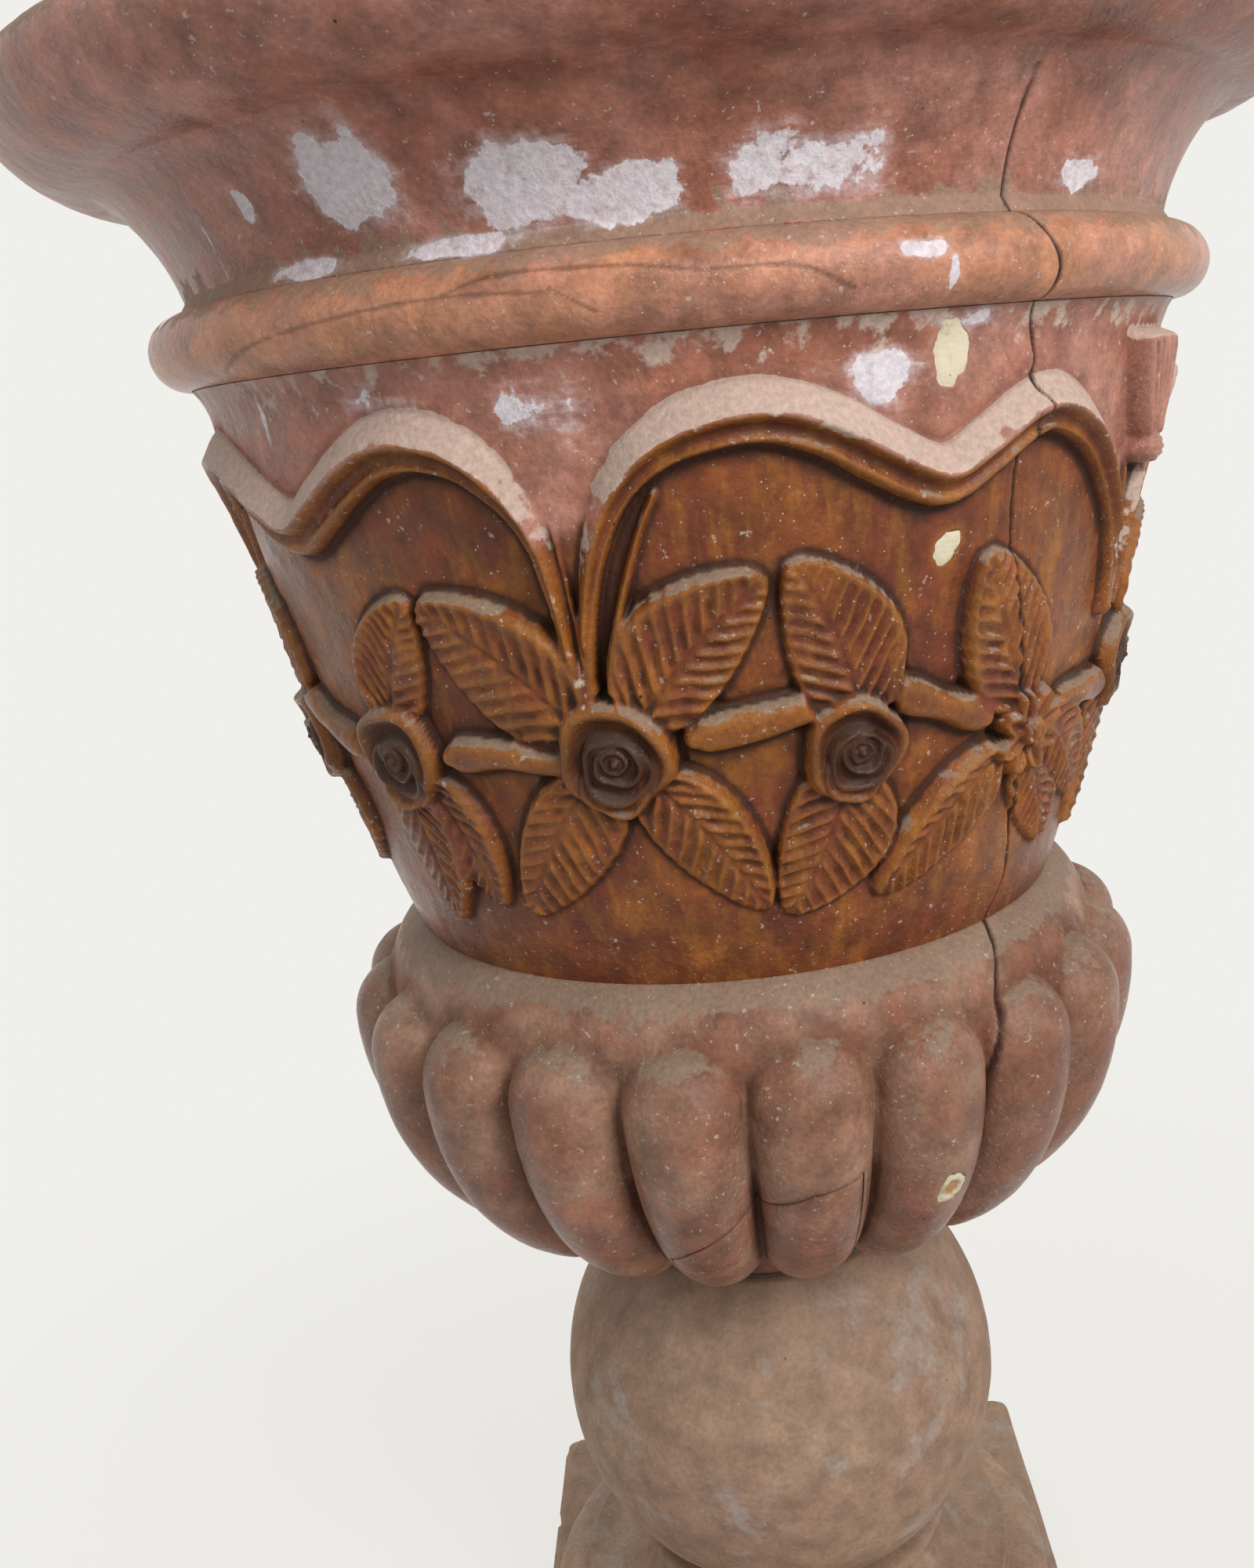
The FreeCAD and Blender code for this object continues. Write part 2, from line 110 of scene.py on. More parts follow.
# Re-glued fragment: its sides, the break line as azimuth and height, its joint and its thickness
BREAK_LEFT = -14.3
BREAK_RIGHT = 12.8
BREAK_LINE = [(-24.0, -690), (-14.3, -664), (-10.7, -648), (-0.9, -616), (6.0, -597), (12.8, -591),
              (22.0, -590)]
BREAK_INNER_RADIUS = 232.0
BREAK_UNDERSIDE = 60.0
BREAK_FADE = 9.0
BREAK_ROWS = 36
BREAK_PINCH = 0.5
BREAK_GROOVE = 0.22
BREAK_GROOVE_DEPTH = 2.0
BREAK_GAP = 0.4
BREAK_DEPTH = 22.0

# Stem, foot and plinth
STEM_END_RADIUS = 125.0
BALL_RADIUS = 200.0
FOOT_RADIUS = 222.0
FOOT_TORUS = 52.0
FOOT_BULGE = 22.0
FOOT_FILLET = 16.0
FOOT_SCOTIA = 18.0
FOOT_NECK = 140.0
FOOT_COLLAR = 14.0
PLINTH_CHAMFER = 8.0
PLINTH_CORNER = 40.0
PLINTH_SOCKET_FLOOR = 35.0
PLINTH_WEAR = 0.8
PLINTH_CHIP = 4.0
PLINTH_SIDE_WEAR = 0.004
PLINTH_SIDE_CHIP = 0.012
UNWORN_RADIUS = 60.0

# Grids: columns round the axis and spacing of rows
FRIEZE_COLUMNS = 1920
FRIEZE_PANELS = 4
FRIEZE_SPACING = 1.3
LOBE_COLUMNS = 48
BAND_COLUMNS = 2200
BAND_SPACING = 0.95
RIM_COLUMNS = 1080
PLAIN_COLUMNS = 480
FINE = 2.4
COARSE = 30.0
COARSEST = 80.0
PLINTH_SPACING = 4.0
SPINE_SPACING = 4.0

# Depths under and over the surroundings at which the painted shade in recesses and the lighter edges, part
# wear and part painted highlight, are full, and stains in the hollow
PAINTED_SHADE_NEAR = 1.2
PAINTED_SHADE_FAR = 4.0
WEAR_AND_HIGHLIGHT_NEAR = 1.5
INSIDE_DUST = 2.0
INSIDE_SOIL = 0.35

# Points along a crack, reach of the cells beside it, how far it wanders and the size of its bends
CRACK_STEPS = 80
CRACK_REACH = 12.0
CRACK_WANDER = 1.2
CRACK_BEND = 14.0

LATTICE_SIZE = 32
OCTAVE_SHIFT = 17.3
LATTICE = np.random.default_rng(11).uniform(-1, 1, (LATTICE_SIZE,) * 3)


def noise(points, size, octaves=3, shift=0.0):
    """Smooth noise between -1 and 1, with its largest features about `size` millimetres across."""
    total = np.zeros(points.shape[:-1])
    reach = 0.0
    for octave in range(octaves):
        weight = 0.5 ** octave
        place = points / size * 2.0 ** octave + shift + OCTAVE_SHIFT * octave
        cell = np.floor(place).astype(int)
        part = place - cell
        part = part * part * (3 - 2 * part)
        for corner in np.ndindex(2, 2, 2):
            share = weight
            for axis in range(3):
                share = share * (part[..., axis] if corner[axis] else 1 - part[..., axis])
            at = (cell + np.array(corner)) % LATTICE_SIZE
            total += share * LATTICE[at[..., 0], at[..., 1], at[..., 2]]
        reach += weight
    return total / reach


def smooth(low, high, value):
    """Soft step from 0 at `low` to 1 at `high`."""
    share = np.clip((value - low) / (high - low), 0, 1)
    return share * share * (3 - 2 * share)


def soft_max(a, b, width):
    """The larger of two values, with the corner where they cross rounded."""
    return (a + b + np.sqrt((a - b) ** 2 + width ** 2)) / 2


def dome(gap):
    """Height of a unit half circle at a distance from its middle."""
    return np.sqrt(np.clip(1 - gap ** 2, 0, 1))


def trace(corners, spacing):
    """Points along an outline of (radius, height, swell) corners, about `spacing` apart.

    The swell is how far the stretch to the next corner bows out, to the right of its direction.
    """
    stretches = []
    for (r, z, swell), (r_next, z_next, _) in zip(corners, corners[1:]):
        start = np.array([r, z])
        chord = np.array([r_next, z_next]) - start
        length = np.hypot(*chord)
        chord = chord / length
        right = np.array([chord[1], -chord[0]])
        count = max(1, round(length / spacing))
        share = np.arange(count)[:, None] / count
        along, out = share * length, 0 * share
        if swell:
            half_angle = 2 * math.atan2(2 * abs(swell), length)
            radius = length / 2 / math.sin(half_angle)
            angle = (2 * share - 1) * half_angle
            along = length / 2 + radius * np.sin(angle)
            out = math.copysign(1, swell) * (radius * np.cos(angle) - radius + abs(swell))
        stretches.append(start + along * chord + out * right)
    stretches.append(np.array([corners[-1][:2]]))
    return np.concatenate(stretches)


def blurred(values, cells):
    """Gaussian blur of a grid that closes round the axis."""
    edge = int(3 * cells)
    padded = np.pad(values, ((edge, edge), (0, 0)), mode="edge")
    rows = np.fft.fftfreq(padded.shape[0])[:, None]
    columns = np.fft.rfftfreq(padded.shape[1])[None, :]
    gain = np.exp(-2 * (np.pi * cells) ** 2 * (rows ** 2 + columns ** 2))
    return np.fft.irfft2(np.fft.rfft2(padded) * gain, s=padded.shape)[edge:-edge]


def spline(points, count):
    """Smooth path through given (azimuth, height) points."""
    points = np.array(points, float)
    slopes = np.gradient(points, axis=0)
    place = np.linspace(0, len(points) - 1, count)
    k = np.minimum(place.astype(int), len(points) - 2)
    t = (place - k)[:, None]
    curve = (2 * t ** 3 - 3 * t ** 2 + 1) * points[k] + (3 * t ** 2 - 2 * t ** 3) * points[k + 1]
    return curve + (t ** 3 - 2 * t ** 2 + t) * slopes[k] + (t ** 3 - t ** 2) * slopes[k + 1]


class Skin:
    """Face of a turned piece: rows along an outline, columns round the axis, relief along the normals.

    The first `shown` rows are the face that is seen. The rest close the outline inside the piece.
    """

    def __init__(self, face, hidden, columns, base_z):
        rows = np.concatenate([face, hidden])
        self.shown = len(face)
        self.r, self.z = rows.T
        step = np.gradient(rows, axis=0)
        self.out = np.stack([step[:, 1], -step[:, 0]], axis=-1) / np.hypot(*step.T)[:, None]
        self.azimuth = np.arange(columns) * 360 / columns - 180
        self.base_z = base_z
        self.relief = np.zeros((len(rows), columns))
        self.marks = {key: np.zeros_like(self.relief) for key in ("crack", "lime", "dust", "darkening", "wax")}

    def points(self):
        """Grid of points in millimetres, with the relief applied."""
        radius = self.r[:, None] + self.relief * self.out[:, :1]
        height = self.z[:, None] + self.relief * self.out[:, 1:] + self.base_z
        angle = np.radians(self.azimuth)
        return np.stack([radius * np.sin(angle), -radius * np.cos(angle), height], axis=-1)

    def radius_at(self, height):
        """Radius of the plain face at a height."""
        rows = slice(0, int(np.argmax(self.z[:self.shown])) + 1)
        return np.interp(height, self.z[rows], self.r[rows])

    def around(self, azimuth, height, reach):
        """Columns within reach of a point, with the offsets right and up of their cells from it."""
        turn = (self.azimuth - azimuth + 180) % 360 - 180
        columns = np.nonzero(np.radians(np.abs(turn)) * self.r.max() < reach)[0]
        right = np.radians(turn[columns])[None, :] * self.r[:, None]
        return columns, right, (self.z - height)[:, None] + 0 * right

    def lay(self, columns, cover, height):
        """Covers the relief with a carved shape where cover is 1."""
        self.relief[:, columns] += cover * (height - self.relief[:, columns])

    def stain(self, key, columns, value):
        """Raises a mark to at least a value."""
        self.marks[key][:, columns] = np.maximum(self.marks[key][:, columns], value)

    def along(self, path, reach):
        """Columns near an (azimuth, height) path, with the distance, side and share of its length."""
        middle = path[len(path) // 2]
        span = max(abs(math.radians(azimuth - middle[0])) for azimuth, _ in path) * self.r.max()
        columns, _, _ = self.around(*middle, span + reach)
        turn = (self.azimuth[columns] - middle[0] + 180) % 360 - 180
        face = self.points()[:, columns]
        radius = np.hypot(face[..., 0], face[..., 1])
        best = np.full(radius.shape, np.inf)
        side, share = np.zeros_like(best), np.zeros_like(best)
        for k, ((a, z), (a_next, z_next)) in enumerate(zip(path, path[1:])):
            step_right = math.radians(a_next - a) * self.radius_at(z)
            length = math.hypot(step_right, z_next - z)
            right = np.radians(turn - a + middle[0]) * radius
            up = face[..., 2] - self.base_z - z
            part = np.clip((right * step_right + up * (z_next - z)) / length ** 2, 0, 1)
            gap_right, gap_up = right - part * step_right, up - part * (z_next - z)
            gap = np.hypot(gap_right, gap_up)
            nearer = gap < best
            turned = np.sign(gap_up * step_right - gap_right * (z_next - z))
            best = np.where(nearer, gap, best)
            side = np.where(nearer, turned * gap, side)
            share = np.where(nearer, (k + part) / (len(path) - 1), share)
        return columns, best, side, share

    def crack(self, path, width, depth, darkness=1.0):
        """Cuts a wandering crack along a path."""
        columns, gap, _, _ = self.along(spline(path, CRACK_STEPS), CRACK_REACH)
        wander = CRACK_WANDER * noise(self.points()[:, columns], CRACK_BEND, 3, 5.0)
        mark = darkness * smooth(width, 0.3, np.abs(gap + wander))
        self.stain("crack", columns, mark)
        self.relief[:, columns] -= depth * mark

    def weather(self, waves=0.8, grain=0.3):
        """Unevenness of hand-worked, worn stone."""
        points = self.points()
        self.relief += waves * noise(points, 70, 3) + grain * noise(points, 11, 2, 3.0)

    def smear(self, spots):
        """Marks soft spots where lime has run down or been smeared."""
        for azimuth, height, half_width, half_height, strength in spots:
            columns, right, up = self.around(azimuth, height, 2 * half_width)
            spot = strength * np.exp(-(right / half_width) ** 2 - (up / half_height) ** 2)
            self.stain("lime", columns, spot)

    def settle(self, plain, reach=12.0):
        """Fades the relief back to the plain one at both ends of the face and behind it."""
        steps = np.hypot(np.diff(self.r[:self.shown]), np.diff(self.z[:self.shown]))
        run = np.concatenate([[0], np.cumsum(steps)])
        fade = np.zeros(len(self.r))
        fade[:self.shown] = smooth(0, reach, run) * smooth(0, reach, run[-1] - run)
        self.relief = plain + (self.relief - plain) * fade[:, None]

    def stain_inside(self):
        """Dust and soil stains on the rows inside the planting hollow."""
        self.marks["wax"][self.shown:] = 0
        self.marks["dust"][self.shown:] = INSIDE_DUST
        self.marks["darkening"][self.shown:] = INSIDE_SOIL

    def mark_recesses(self, cells):
        """Marks how far each cell lies under or above its surroundings, for painted shade in recesses and for
        edges lightened as wear and painted highlight.
        """
        near = self.relief - blurred(self.relief, cells)
        far = self.relief - blurred(self.relief, 4 * cells)
        self.marks["recess"] = 0.5 * np.clip(-near / PAINTED_SHADE_NEAR, 0, 1) + 0.5 * np.clip(-far / PAINTED_SHADE_FAR, 0, 1)
        self.marks["edge"] = np.clip(near / WEAR_AND_HIGHLIGHT_NEAR, 0, 1)


def mesh_piece(name, points, faces, marks, body, material, normals=None):
    """A smooth-shaded mesh object that rides on a body."""
    mesh = bpy.data.meshes.new(name)
    mesh.from_pydata(points.reshape(-1, 3) * MM, [], faces)
    mesh.polygons.foreach_set("use_smooth", [True] * len(mesh.polygons))
    for key, values in marks.items():
        mark = mesh.attributes.new(key, "FLOAT", "POINT")
        mark.data.foreach_set("value", np.ascontiguousarray(values, np.float32).ravel())
    if normals is not None:
        mesh.normals_split_custom_set_from_vertices(normals.reshape(-1, 3))
    mesh.materials.append(material)
    piece = bpy.data.objects.new(name, mesh)
    bpy.context.scene.collection.objects.link(piece)
    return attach(piece, body)


def numbered(points):
    """Vertex numbers of a grid."""
    return np.arange(points.shape[0] * points.shape[1]).reshape(points.shape[:2])


def cells(index, close_rows=False, close_columns=False):
    """Quads over a grid of vertex numbers."""
    if close_rows:
        index = np.concatenate([index, index[:1]])
    if close_columns:
        index = np.concatenate([index, index[:, :1]], axis=1)
    return np.stack([index[:-1, :-1], index[:-1, 1:], index[1:, 1:], index[1:, :-1]], axis=-1).reshape(-1, 4)


def ring_piece(name, skin, body, material):
    """Closed ring from a skin whose grid closes both ways."""
    points = skin.points()
    faces = cells(numbered(points), True, True).tolist()
    return mesh_piece(name, points, faces, skin.marks, body, material)


def wall(index, behind):
    """Quads from the border of a grid of vertex numbers back to the border of the grid behind it."""
    loops = []
    for grid in (index, behind):
        loops.append(np.concatenate([grid[0, :-1], grid[:-1, -1], grid[-1, :0:-1], grid[:0:-1, 0]]))
    return np.stack([loops[0], loops[1], np.roll(loops[1], -1), np.roll(loops[0], -1)], axis=-1)


def grid_normals(points):
    """Outward normals of a grid that closes round the axis."""
    across = np.roll(points, -1, axis=1) - np.roll(points, 1, axis=1)
    normals = np.cross(across, np.gradient(points, axis=0))
    return normals / np.linalg.norm(normals, axis=-1, keepdims=True)


# Frieze carving. Places in a motif are offsets from its flower, in degrees and millimetres.
FIELD_SINK = 4.0
RECESS_SINK = 7.0
LEAF_VEINS = 10
LEAF_BEND = 0.05
LEAF_ROLL_SHARE = 0.6
VEIN_SLANT = 0.85
VEIN_WOBBLE = 0.3
VEIN_HEIGHT = 3.6
VEIN_LEVEL = 0.35
FIRST_RIBBON = -12.7
RIBBON_REPEATS = 5
RIBBON_HALF_WIDTH = 18.0
BUNDLE_HALF_WIDTH = 5.5
FLOWER_PETALS = 8
TWIG_RADIUS = 11.0

# Heights between which the sunk field, the wax and the dust fade in
FIELD_FADE = (-425, -330)
BUNDLE_WAX = (-105, -165)
LOBE_WAX = (-560, -640)
TORUS_DUST = (-70, -25)
NECK_DUST = (60, 30)
WAIST_DUST = (-482, -464)

# Ribbon section from its lower to its upper edge: lip, groove, ridge and slanting upper face
RIBBON_ACROSS = [-1.0, -0.84, -0.62, -0.36, -0.1, 0.02, 0.5, 1.0]
RIBBON_HEIGHTS = [7.0, 10.0, 6.0, 6.5, 16.5, 17.0, 9.5, 1.0]

# Leaf section from its thin to its rolled edge, and how much of the roll each place takes
LEAF_ACROSS = [-1.0, -0.8, -0.2, 0.4, 0.7, 0.9, 1.0]
LEAF_HEIGHTS = [1.5, 2.5, 4.5, 4.0, 4.0, 4.5, 4.0]
LEAF_ROLL = [0.0, 0.0, 0.0, 0.0, 0.35, 1.0, 0.9]

# Petals of a rose, the lowest first: middle right and up, size, floor, raised edge, as shares of its radius
ROSE_PETALS = [
    (0.0, 0.05, 1.0, 0.16, 0.22),
    (-0.06, -0.46, 0.62, 0.18, 0.20),
    (0.04, -0.16, 0.66, 0.20, 0.20),
    (0.10, -0.02, 0.44, 0.26, 0.16),
    (0.04, 0.05, 0.24, 0.34, 0.12),
]
ROSE_BUD = (0.05, 0.04, 0.11, 0.5)

# Leaves of each motif: base, tip, width left and right of the midrib, rolled edge, on the left where positive
MAIN_ROSE = {
    "radius": 37.0,
    "leaves": [
        ((-3.2, 16.8), (-20.3, 106.0), (42.0, 33.0), -6.0),
        ((3.1, 18.2), (18.1, 108.0), (40.0, 31.0), 5.0),
        ((-2.5, -11.2), (-17.1, -122.0), (40.0, 24.0), -2.0),
        ((2.9, -14.0), (16.1, -122.0), (26.0, 33.0), 5.0),
    ],
    "twig": [(9.2, 11.0), (15.6, 16.0), (22.7, 24.0), (27.5, 34.0), (32.4, 27.0)],
}
SIDE_ROSE = {
    "radius": 34.0,
    "leaves": [
        ((1.0, 16.8), (-6.9, 126.0), (33.0, 42.0), -2.0),
        ((-0.4, -9.8), (-8.6, -118.0), (46.0, 33.0), 2.0),
    ],
    "twig": [(5.2, 33.0), (11.0, 19.0), (17.4, 5.0)],
}
OPEN_FLOWER = {
    "radius": 31.0,
    "leaves": [
        ((-0.3, 16.8), (-9.5, 130.0), (33.0, 46.0), 4.0),
        ((-3.5, -9.8), (-21.6, -100.0), (37.0, 18.0), -9.0),
        ((1.0, -16.8), (11.0, -102.0), (26.0, 26.0), 3.0),
        ((4.2, 5.6), (21.0, -78.0), (26.0, 26.0), 3.0),
    ],
    "twig": [(7.5, 6.0), (13.0, 12.0), (20.5, 10.0)],
}
LEFT_ROSE = {
    "radius": 36.0,
    "leaves": [
        ((0.3, 18.2), (8.6, 111.0), (33.0, 26.0), 5.0),
        ((2.4, -9.8), (8.3, -116.0), (24.0, 31.0), 5.0),
        ((-3.5, -9.8), (-2.5, -134.0), (33.0, 31.0), 6.0),
    ],
    "twig": [(9.0, 4.0), (16.0, 6.0), (24.0, 3.0)],
}
MOTIFS = [
    (-42.2, -279.0, LEFT_ROSE), (-12.0, -277.0, MAIN_ROSE), (15.3, -287.0, SIDE_ROSE),
    (41.1, -302.0, OPEN_FLOWER), (69.0, -280.0, LEFT_ROSE), (99.2, -278.0, MAIN_ROSE),
    (126.5, -286.0, SIDE_ROSE), (152.3, -298.0, OPEN_FLOWER), (180.2, -280.0, LEFT_ROSE),
    (210.4, -277.0, MAIN_ROSE), (237.7, -287.0, SIDE_ROSE), (263.5, -300.0, OPEN_FLOWER),
    (291.0, -282.0, SIDE_ROSE),
]

# Ribbon from one bundle of strands to the next: degrees from the bundle, height
RIBBON_RISE = [(-1.2, -234), (0.0, -190), (2.0, -143), (4.9, -107), (9.0, -84), (14.2, -73), (19.9, -72),
               (25.6, -84), (30.9, -103), (37.2, -120), (42.4, -106), (47.5, -88)]
RIBBON_FALL = [(52.2, -74), (57.2, -70), (62.2, -79), (65.7, -99), (68.1, -124), (69.4, -160), (70.0, -232)]
FRONT_FALL = [(52.2, -84), (58.7, -103), (64.0, -136), (69.0, -180), (71.5, -232)]
STRANDS = [
    [(8.6, -113), (6.7, -135), (4.4, -170), (2.9, -197), (1.6, -231)],
    [(-1.6, -128), (-1.5, -160), (-1.0, -195), (-0.4, -231)],
    [(-4.6, -124), (-3.6, -160), (-2.4, -195), (-1.4, -231)],
]
BOW_BUNDLES = (1, 3)
BOW_KNOT = -122.0
BOW_MIDDLE = -90.0
BOW_TOP = -52.0
BOW_PLEATS = 6
BOW_SPREAD = 1.9
BOW_KNOT_SIZE = (15.0, 12.0)

# Cracks, their cuts as width, depth and darkness, and repair fills
CRACK_CUT = (1.8, 2.0)
RIM_CRACK_CUT = (1.8, 1.5)
LOBE_CRACK_CUT = (2.2, 2.5)
HAIRLINE_CUT = (1.7, 0.3, 0.5)
CRACK = [(31.5, 98), (31.7, 38), (31.7, 25), (33.9, -5), (34.3, -26), (35.9, -56), (35.3, -74), (36.5, -90),
         (35.0, -126), (35.6, -185), (36.8, -212), (38.9, -274), (41.5, -340), (45.0, -411), (43.0, -455)]
LOBE_CRACK = [(43.0, -455), (38.0, -490), (34.5, -530), (33.3, -580), (33.2, -640)]
HAIRLINES = [
    [(-47.0, -20), (-40.2, -8), (-30.0, 0), (-19.2, 4), (-9.9, 0)],
    [(-19.2, 4), (-14.0, 12), (-4.0, 10), (2.0, 4), (9.2, 2), (14.0, -12)],
    [(-9.9, 2), (-6.5, -12)],
]
FILLS = {
    "fill_band": {"at": (25.4, -50.0), "half": (11.5, 20.0), "tilt": 8.0, "worn": 0.0},
    "fill_frieze": {"at": (26.3, -166.0), "half": (11.0, 8.5), "tilt": 35.0, "worn": 0.0},
    "fill_lobe": {"at": (24.6, -620.0), "half": (10.0, 13.0), "tilt": 0.0, "worn": 0.6},
}
FILL_DEPTH = 7.0
FILL_RINGS = 9
FILL_SPOKES = 60

# Lime smears: azimuth, height from the torus, half width and half height in millimetres, strength
LIME = [
    (-40.6, 70, 14, 14, 0.9), (-28.0, 72, 34, 28, 1.3), (-12.0, 60, 46, 24, 1.3), (-4.0, 48, 42, 20, 1.2),
    (-19.0, 31, 44, 8, 1.1), (-35.6, 32, 34, 8, 1.1), (20.0, 6, 24, 7, 1.0), (22.8, -8, 4, 14, 0.9),
    (41.7, 46, 30, 12, 1.0), (18.5, -56, 34, 22, 0.85), (27.8, -32, 26, 9, 0.8), (12.0, 56, 60, 22, 0.95),
    (-14.0, -60, 56, 20, 0.7), (-31.0, -44, 30, 14, 0.7), (-49.4, 60, 3, 30, 0.9), (-48.6, -52, 4, 30, 0.85),
    (100.0, 62, 40, 18, 1.0), (150.0, 50, 30, 14, 0.9), (-110.0, 66, 36, 20, 1.0), (-160.0, 44, 46, 14, 0.9),
    (110.0, -52, 40, 16, 0.7), (-95.0, -50, 34, 18, 0.7), (175.0, -56, 30, 12, 0.65),
]


def leaf(skin, base, tip, widths, roll):
    """Pointed leaf, dished between a thin edge and a rolled one, with veins each side of its midrib."""
    tip_right = math.radians(tip[0] - base[0]) * skin.radius_at(tip[1])
    tip_up = tip[1] - base[1]
    length = math.hypot(tip_right, tip_up)
    columns, right, up = skin.around(*base, length + max(widths))
    along = (right * tip_right + up * tip_up) / length ** 2
    side = (up * tip_right - right * tip_up) / length
    side = side - math.copysign(LEAF_BEND * length, roll) * 4 * along * (1 - along)
    off = np.abs(side)
    wobble = noise(skin.points()[:, columns], 28, 2, 6.0)
    barb = (along - VEIN_SLANT * off / length) * LEAF_VEINS + VEIN_WOBBLE * wobble
    vein = (0.5 + 0.5 * np.cos(2 * np.pi * barb)) ** 2
    inner = np.clip(along, 0.001, 0.999)
    half = np.where(side > 0, *widths) * np.sin(np.pi * inner ** 0.72) ** 0.62 * (1 + 0.02 * vein)
    rolled = side * roll > 0
    place = np.where(rolled, 1, -1) * np.clip(off / np.maximum(half, 1), 0, 1)
    bevel = np.where(rolled, 1.5 + 1.1 * abs(roll), 1.4)
    cover = smooth(-bevel, 1.4, half - off) * smooth(0, 0.05, along) * smooth(1, 0.985, along)
    height = np.interp(place, LEAF_ACROSS, LEAF_HEIGHTS)
    height += abs(roll) * np.interp(place, LEAF_ACROSS, LEAF_ROLL) * LEAF_ROLL_SHARE
    veined = smooth(0, 5, off) * smooth(1.0, 0.8, np.abs(place))
    height += VEIN_HEIGHT * (vein - VEIN_LEVEL) * (0.8 + 0.5 * wobble) * veined
    height += 0.9 * noise(skin.points()[:, columns], 9, 2, 1.0) - 1.3 * np.exp(-(off / 1.7) ** 2)
    skin.lay(columns, cover, height)


def rose(skin, azimuth, height, radius):
    """Rose: a broad outer cup, closer petals that lie lower down and a bud."""
    columns, right, up = skin.around(azimuth, height, 2 * radius)
    for k, (move_right, move_up, size, floor, lip) in enumerate(ROSE_PETALS):
        across, along = right / radius - move_right, up / radius - move_up
        angle = np.arctan2(along, across) + k + azimuth
        gap = np.hypot(across, along) / size / (1 + 0.05 * np.sin(3 * angle) + 0.03 * np.sin(5 * angle + k))
        edge = np.exp(-((gap - 0.86) / 0.16) ** 2) * (1 + 0.25 * np.sin(2 * angle))
        skin.lay(columns, smooth(1.06, 0.97, gap), radius * (floor + lip * edge))
    bud_right, bud_up, size, top = ROSE_BUD
    gap = np.hypot(right / radius - bud_right, up / radius - bud_up) / size
    skin.lay(columns, smooth(1.1, 0.8, gap), radius * (top - 0.16 * gap ** 2))
    # Darkens the colour over the rose, fading out towards its edge
    skin.stain("darkening", columns, smooth(1.05, 0.6, np.hypot(right, up) / radius))


def open_flower(skin, azimuth, height, radius):
    """Flower with grooved petals round a ring of berries."""
    columns, right, up = skin.around(azimuth, height, 2 * radius)
    for k in range(FLOWER_PETALS):
        angle = 0.4 + 2 * math.pi * k / FLOWER_PETALS
        out = (right * math.cos(angle) + up * math.sin(angle)) / radius
        across = (up * math.cos(angle) - right * math.sin(angle)) / radius
        gap = np.hypot((out - 0.62) / 0.42, across / 0.27)
        groove = 3.5 * np.exp(-(across / 0.06) ** 2)
        skin.lay(columns, smooth(1.06, 0.9, gap), 7.0 + 6.0 * out + 2.0 * gap ** 2 - groove)
    for k in range(FLOWER_PETALS):
        angle = 2 * math.pi * k / (FLOWER_PETALS - 1)
        reach = 0 if k == FLOWER_PETALS - 1 else 0.2 * radius
        gap = np.hypot(right - reach * math.cos(angle), up - reach * math.sin(angle)) / (0.14 * radius)
        skin.lay(columns, smooth(1.1, 0.85, gap), 12.0 + 5.0 * dome(gap))


def twig(skin, path):
    """Flat-topped piece of branch between two motifs."""
    columns, gap, _, share = skin.along(spline(path, 17), 4 * TWIG_RADIUS)
    ends = smooth(-0.1, 0.06, share) * smooth(1.1, 0.96, share)
    swell = TWIG_RADIUS * (1 + 0.12 * np.sin(9 * share)) * ends
    skin.lay(columns, smooth(1.6, -1.2, gap - swell), 10.0 - 6.0 * (gap / np.maximum(swell, 1)) ** 2.5)


def ribbon(skin, bundle, path):
    """Folded ribbon that rises from a bundle, waves over a valley and falls to the next bundle."""
    path = spline([(bundle + a, h) for a, h in path], 64)
    columns, gap, side, share = skin.along(path, 40)
    spread = smooth(0.03, 0.33, share) * smooth(1.0, 0.72, share)
    half = BUNDLE_HALF_WIDTH + (RIBBON_HALF_WIDTH - BUNDLE_HALF_WIDTH) * spread
    fold = 0.12 * np.sin(9 * share)
    height = np.interp(side / half + fold, RIBBON_ACROSS, RIBBON_HEIGHTS)
    cover = smooth(0.9, -0.9, gap - half)
    skin.lay(columns, cover, height * (0.6 + 0.4 * spread))
    skin.stain("dust", columns, 0.8 * cover * smooth(-0.5, 0.1, side / half))


def strand(skin, path):
    """Thin ridge that grows wider towards its lower end."""
    columns, gap, _, share = skin.along(spline(path, 20), 12)
    width = 1.6 + 1.6 * share
    skin.lay(columns, smooth(0.8, -0.8, gap - width), 2.0 + 3.0 * share)


def bow(skin, bundle):
    """Pleated fan above a knot, where the ribbons of a bundle are tied."""
    for k in range(BOW_PLEATS):
        lean = (k - (BOW_PLEATS - 1) / 2) * BOW_SPREAD
        fan = [(bundle + 0.2 * lean, BOW_KNOT), (bundle + 0.7 * lean, BOW_MIDDLE), (bundle + lean, BOW_TOP)]
        columns, gap, _, share = skin.along(spline(fan, 12), 20)
        width = 3.0 + 4.5 * share
        skin.lay(columns, smooth(0.8, -0.8, gap - width), 8.0 + 10.0 * dome(gap / width))
    columns, right, up = skin.around(bundle, BOW_KNOT, 40)
    gap = np.hypot(right / BOW_KNOT_SIZE[0], up / BOW_KNOT_SIZE[1])
    skin.lay(columns, smooth(1.05, 0.9, gap), 10 + 12 * dome(gap) + 1.5 * np.sin(1.3 * up))


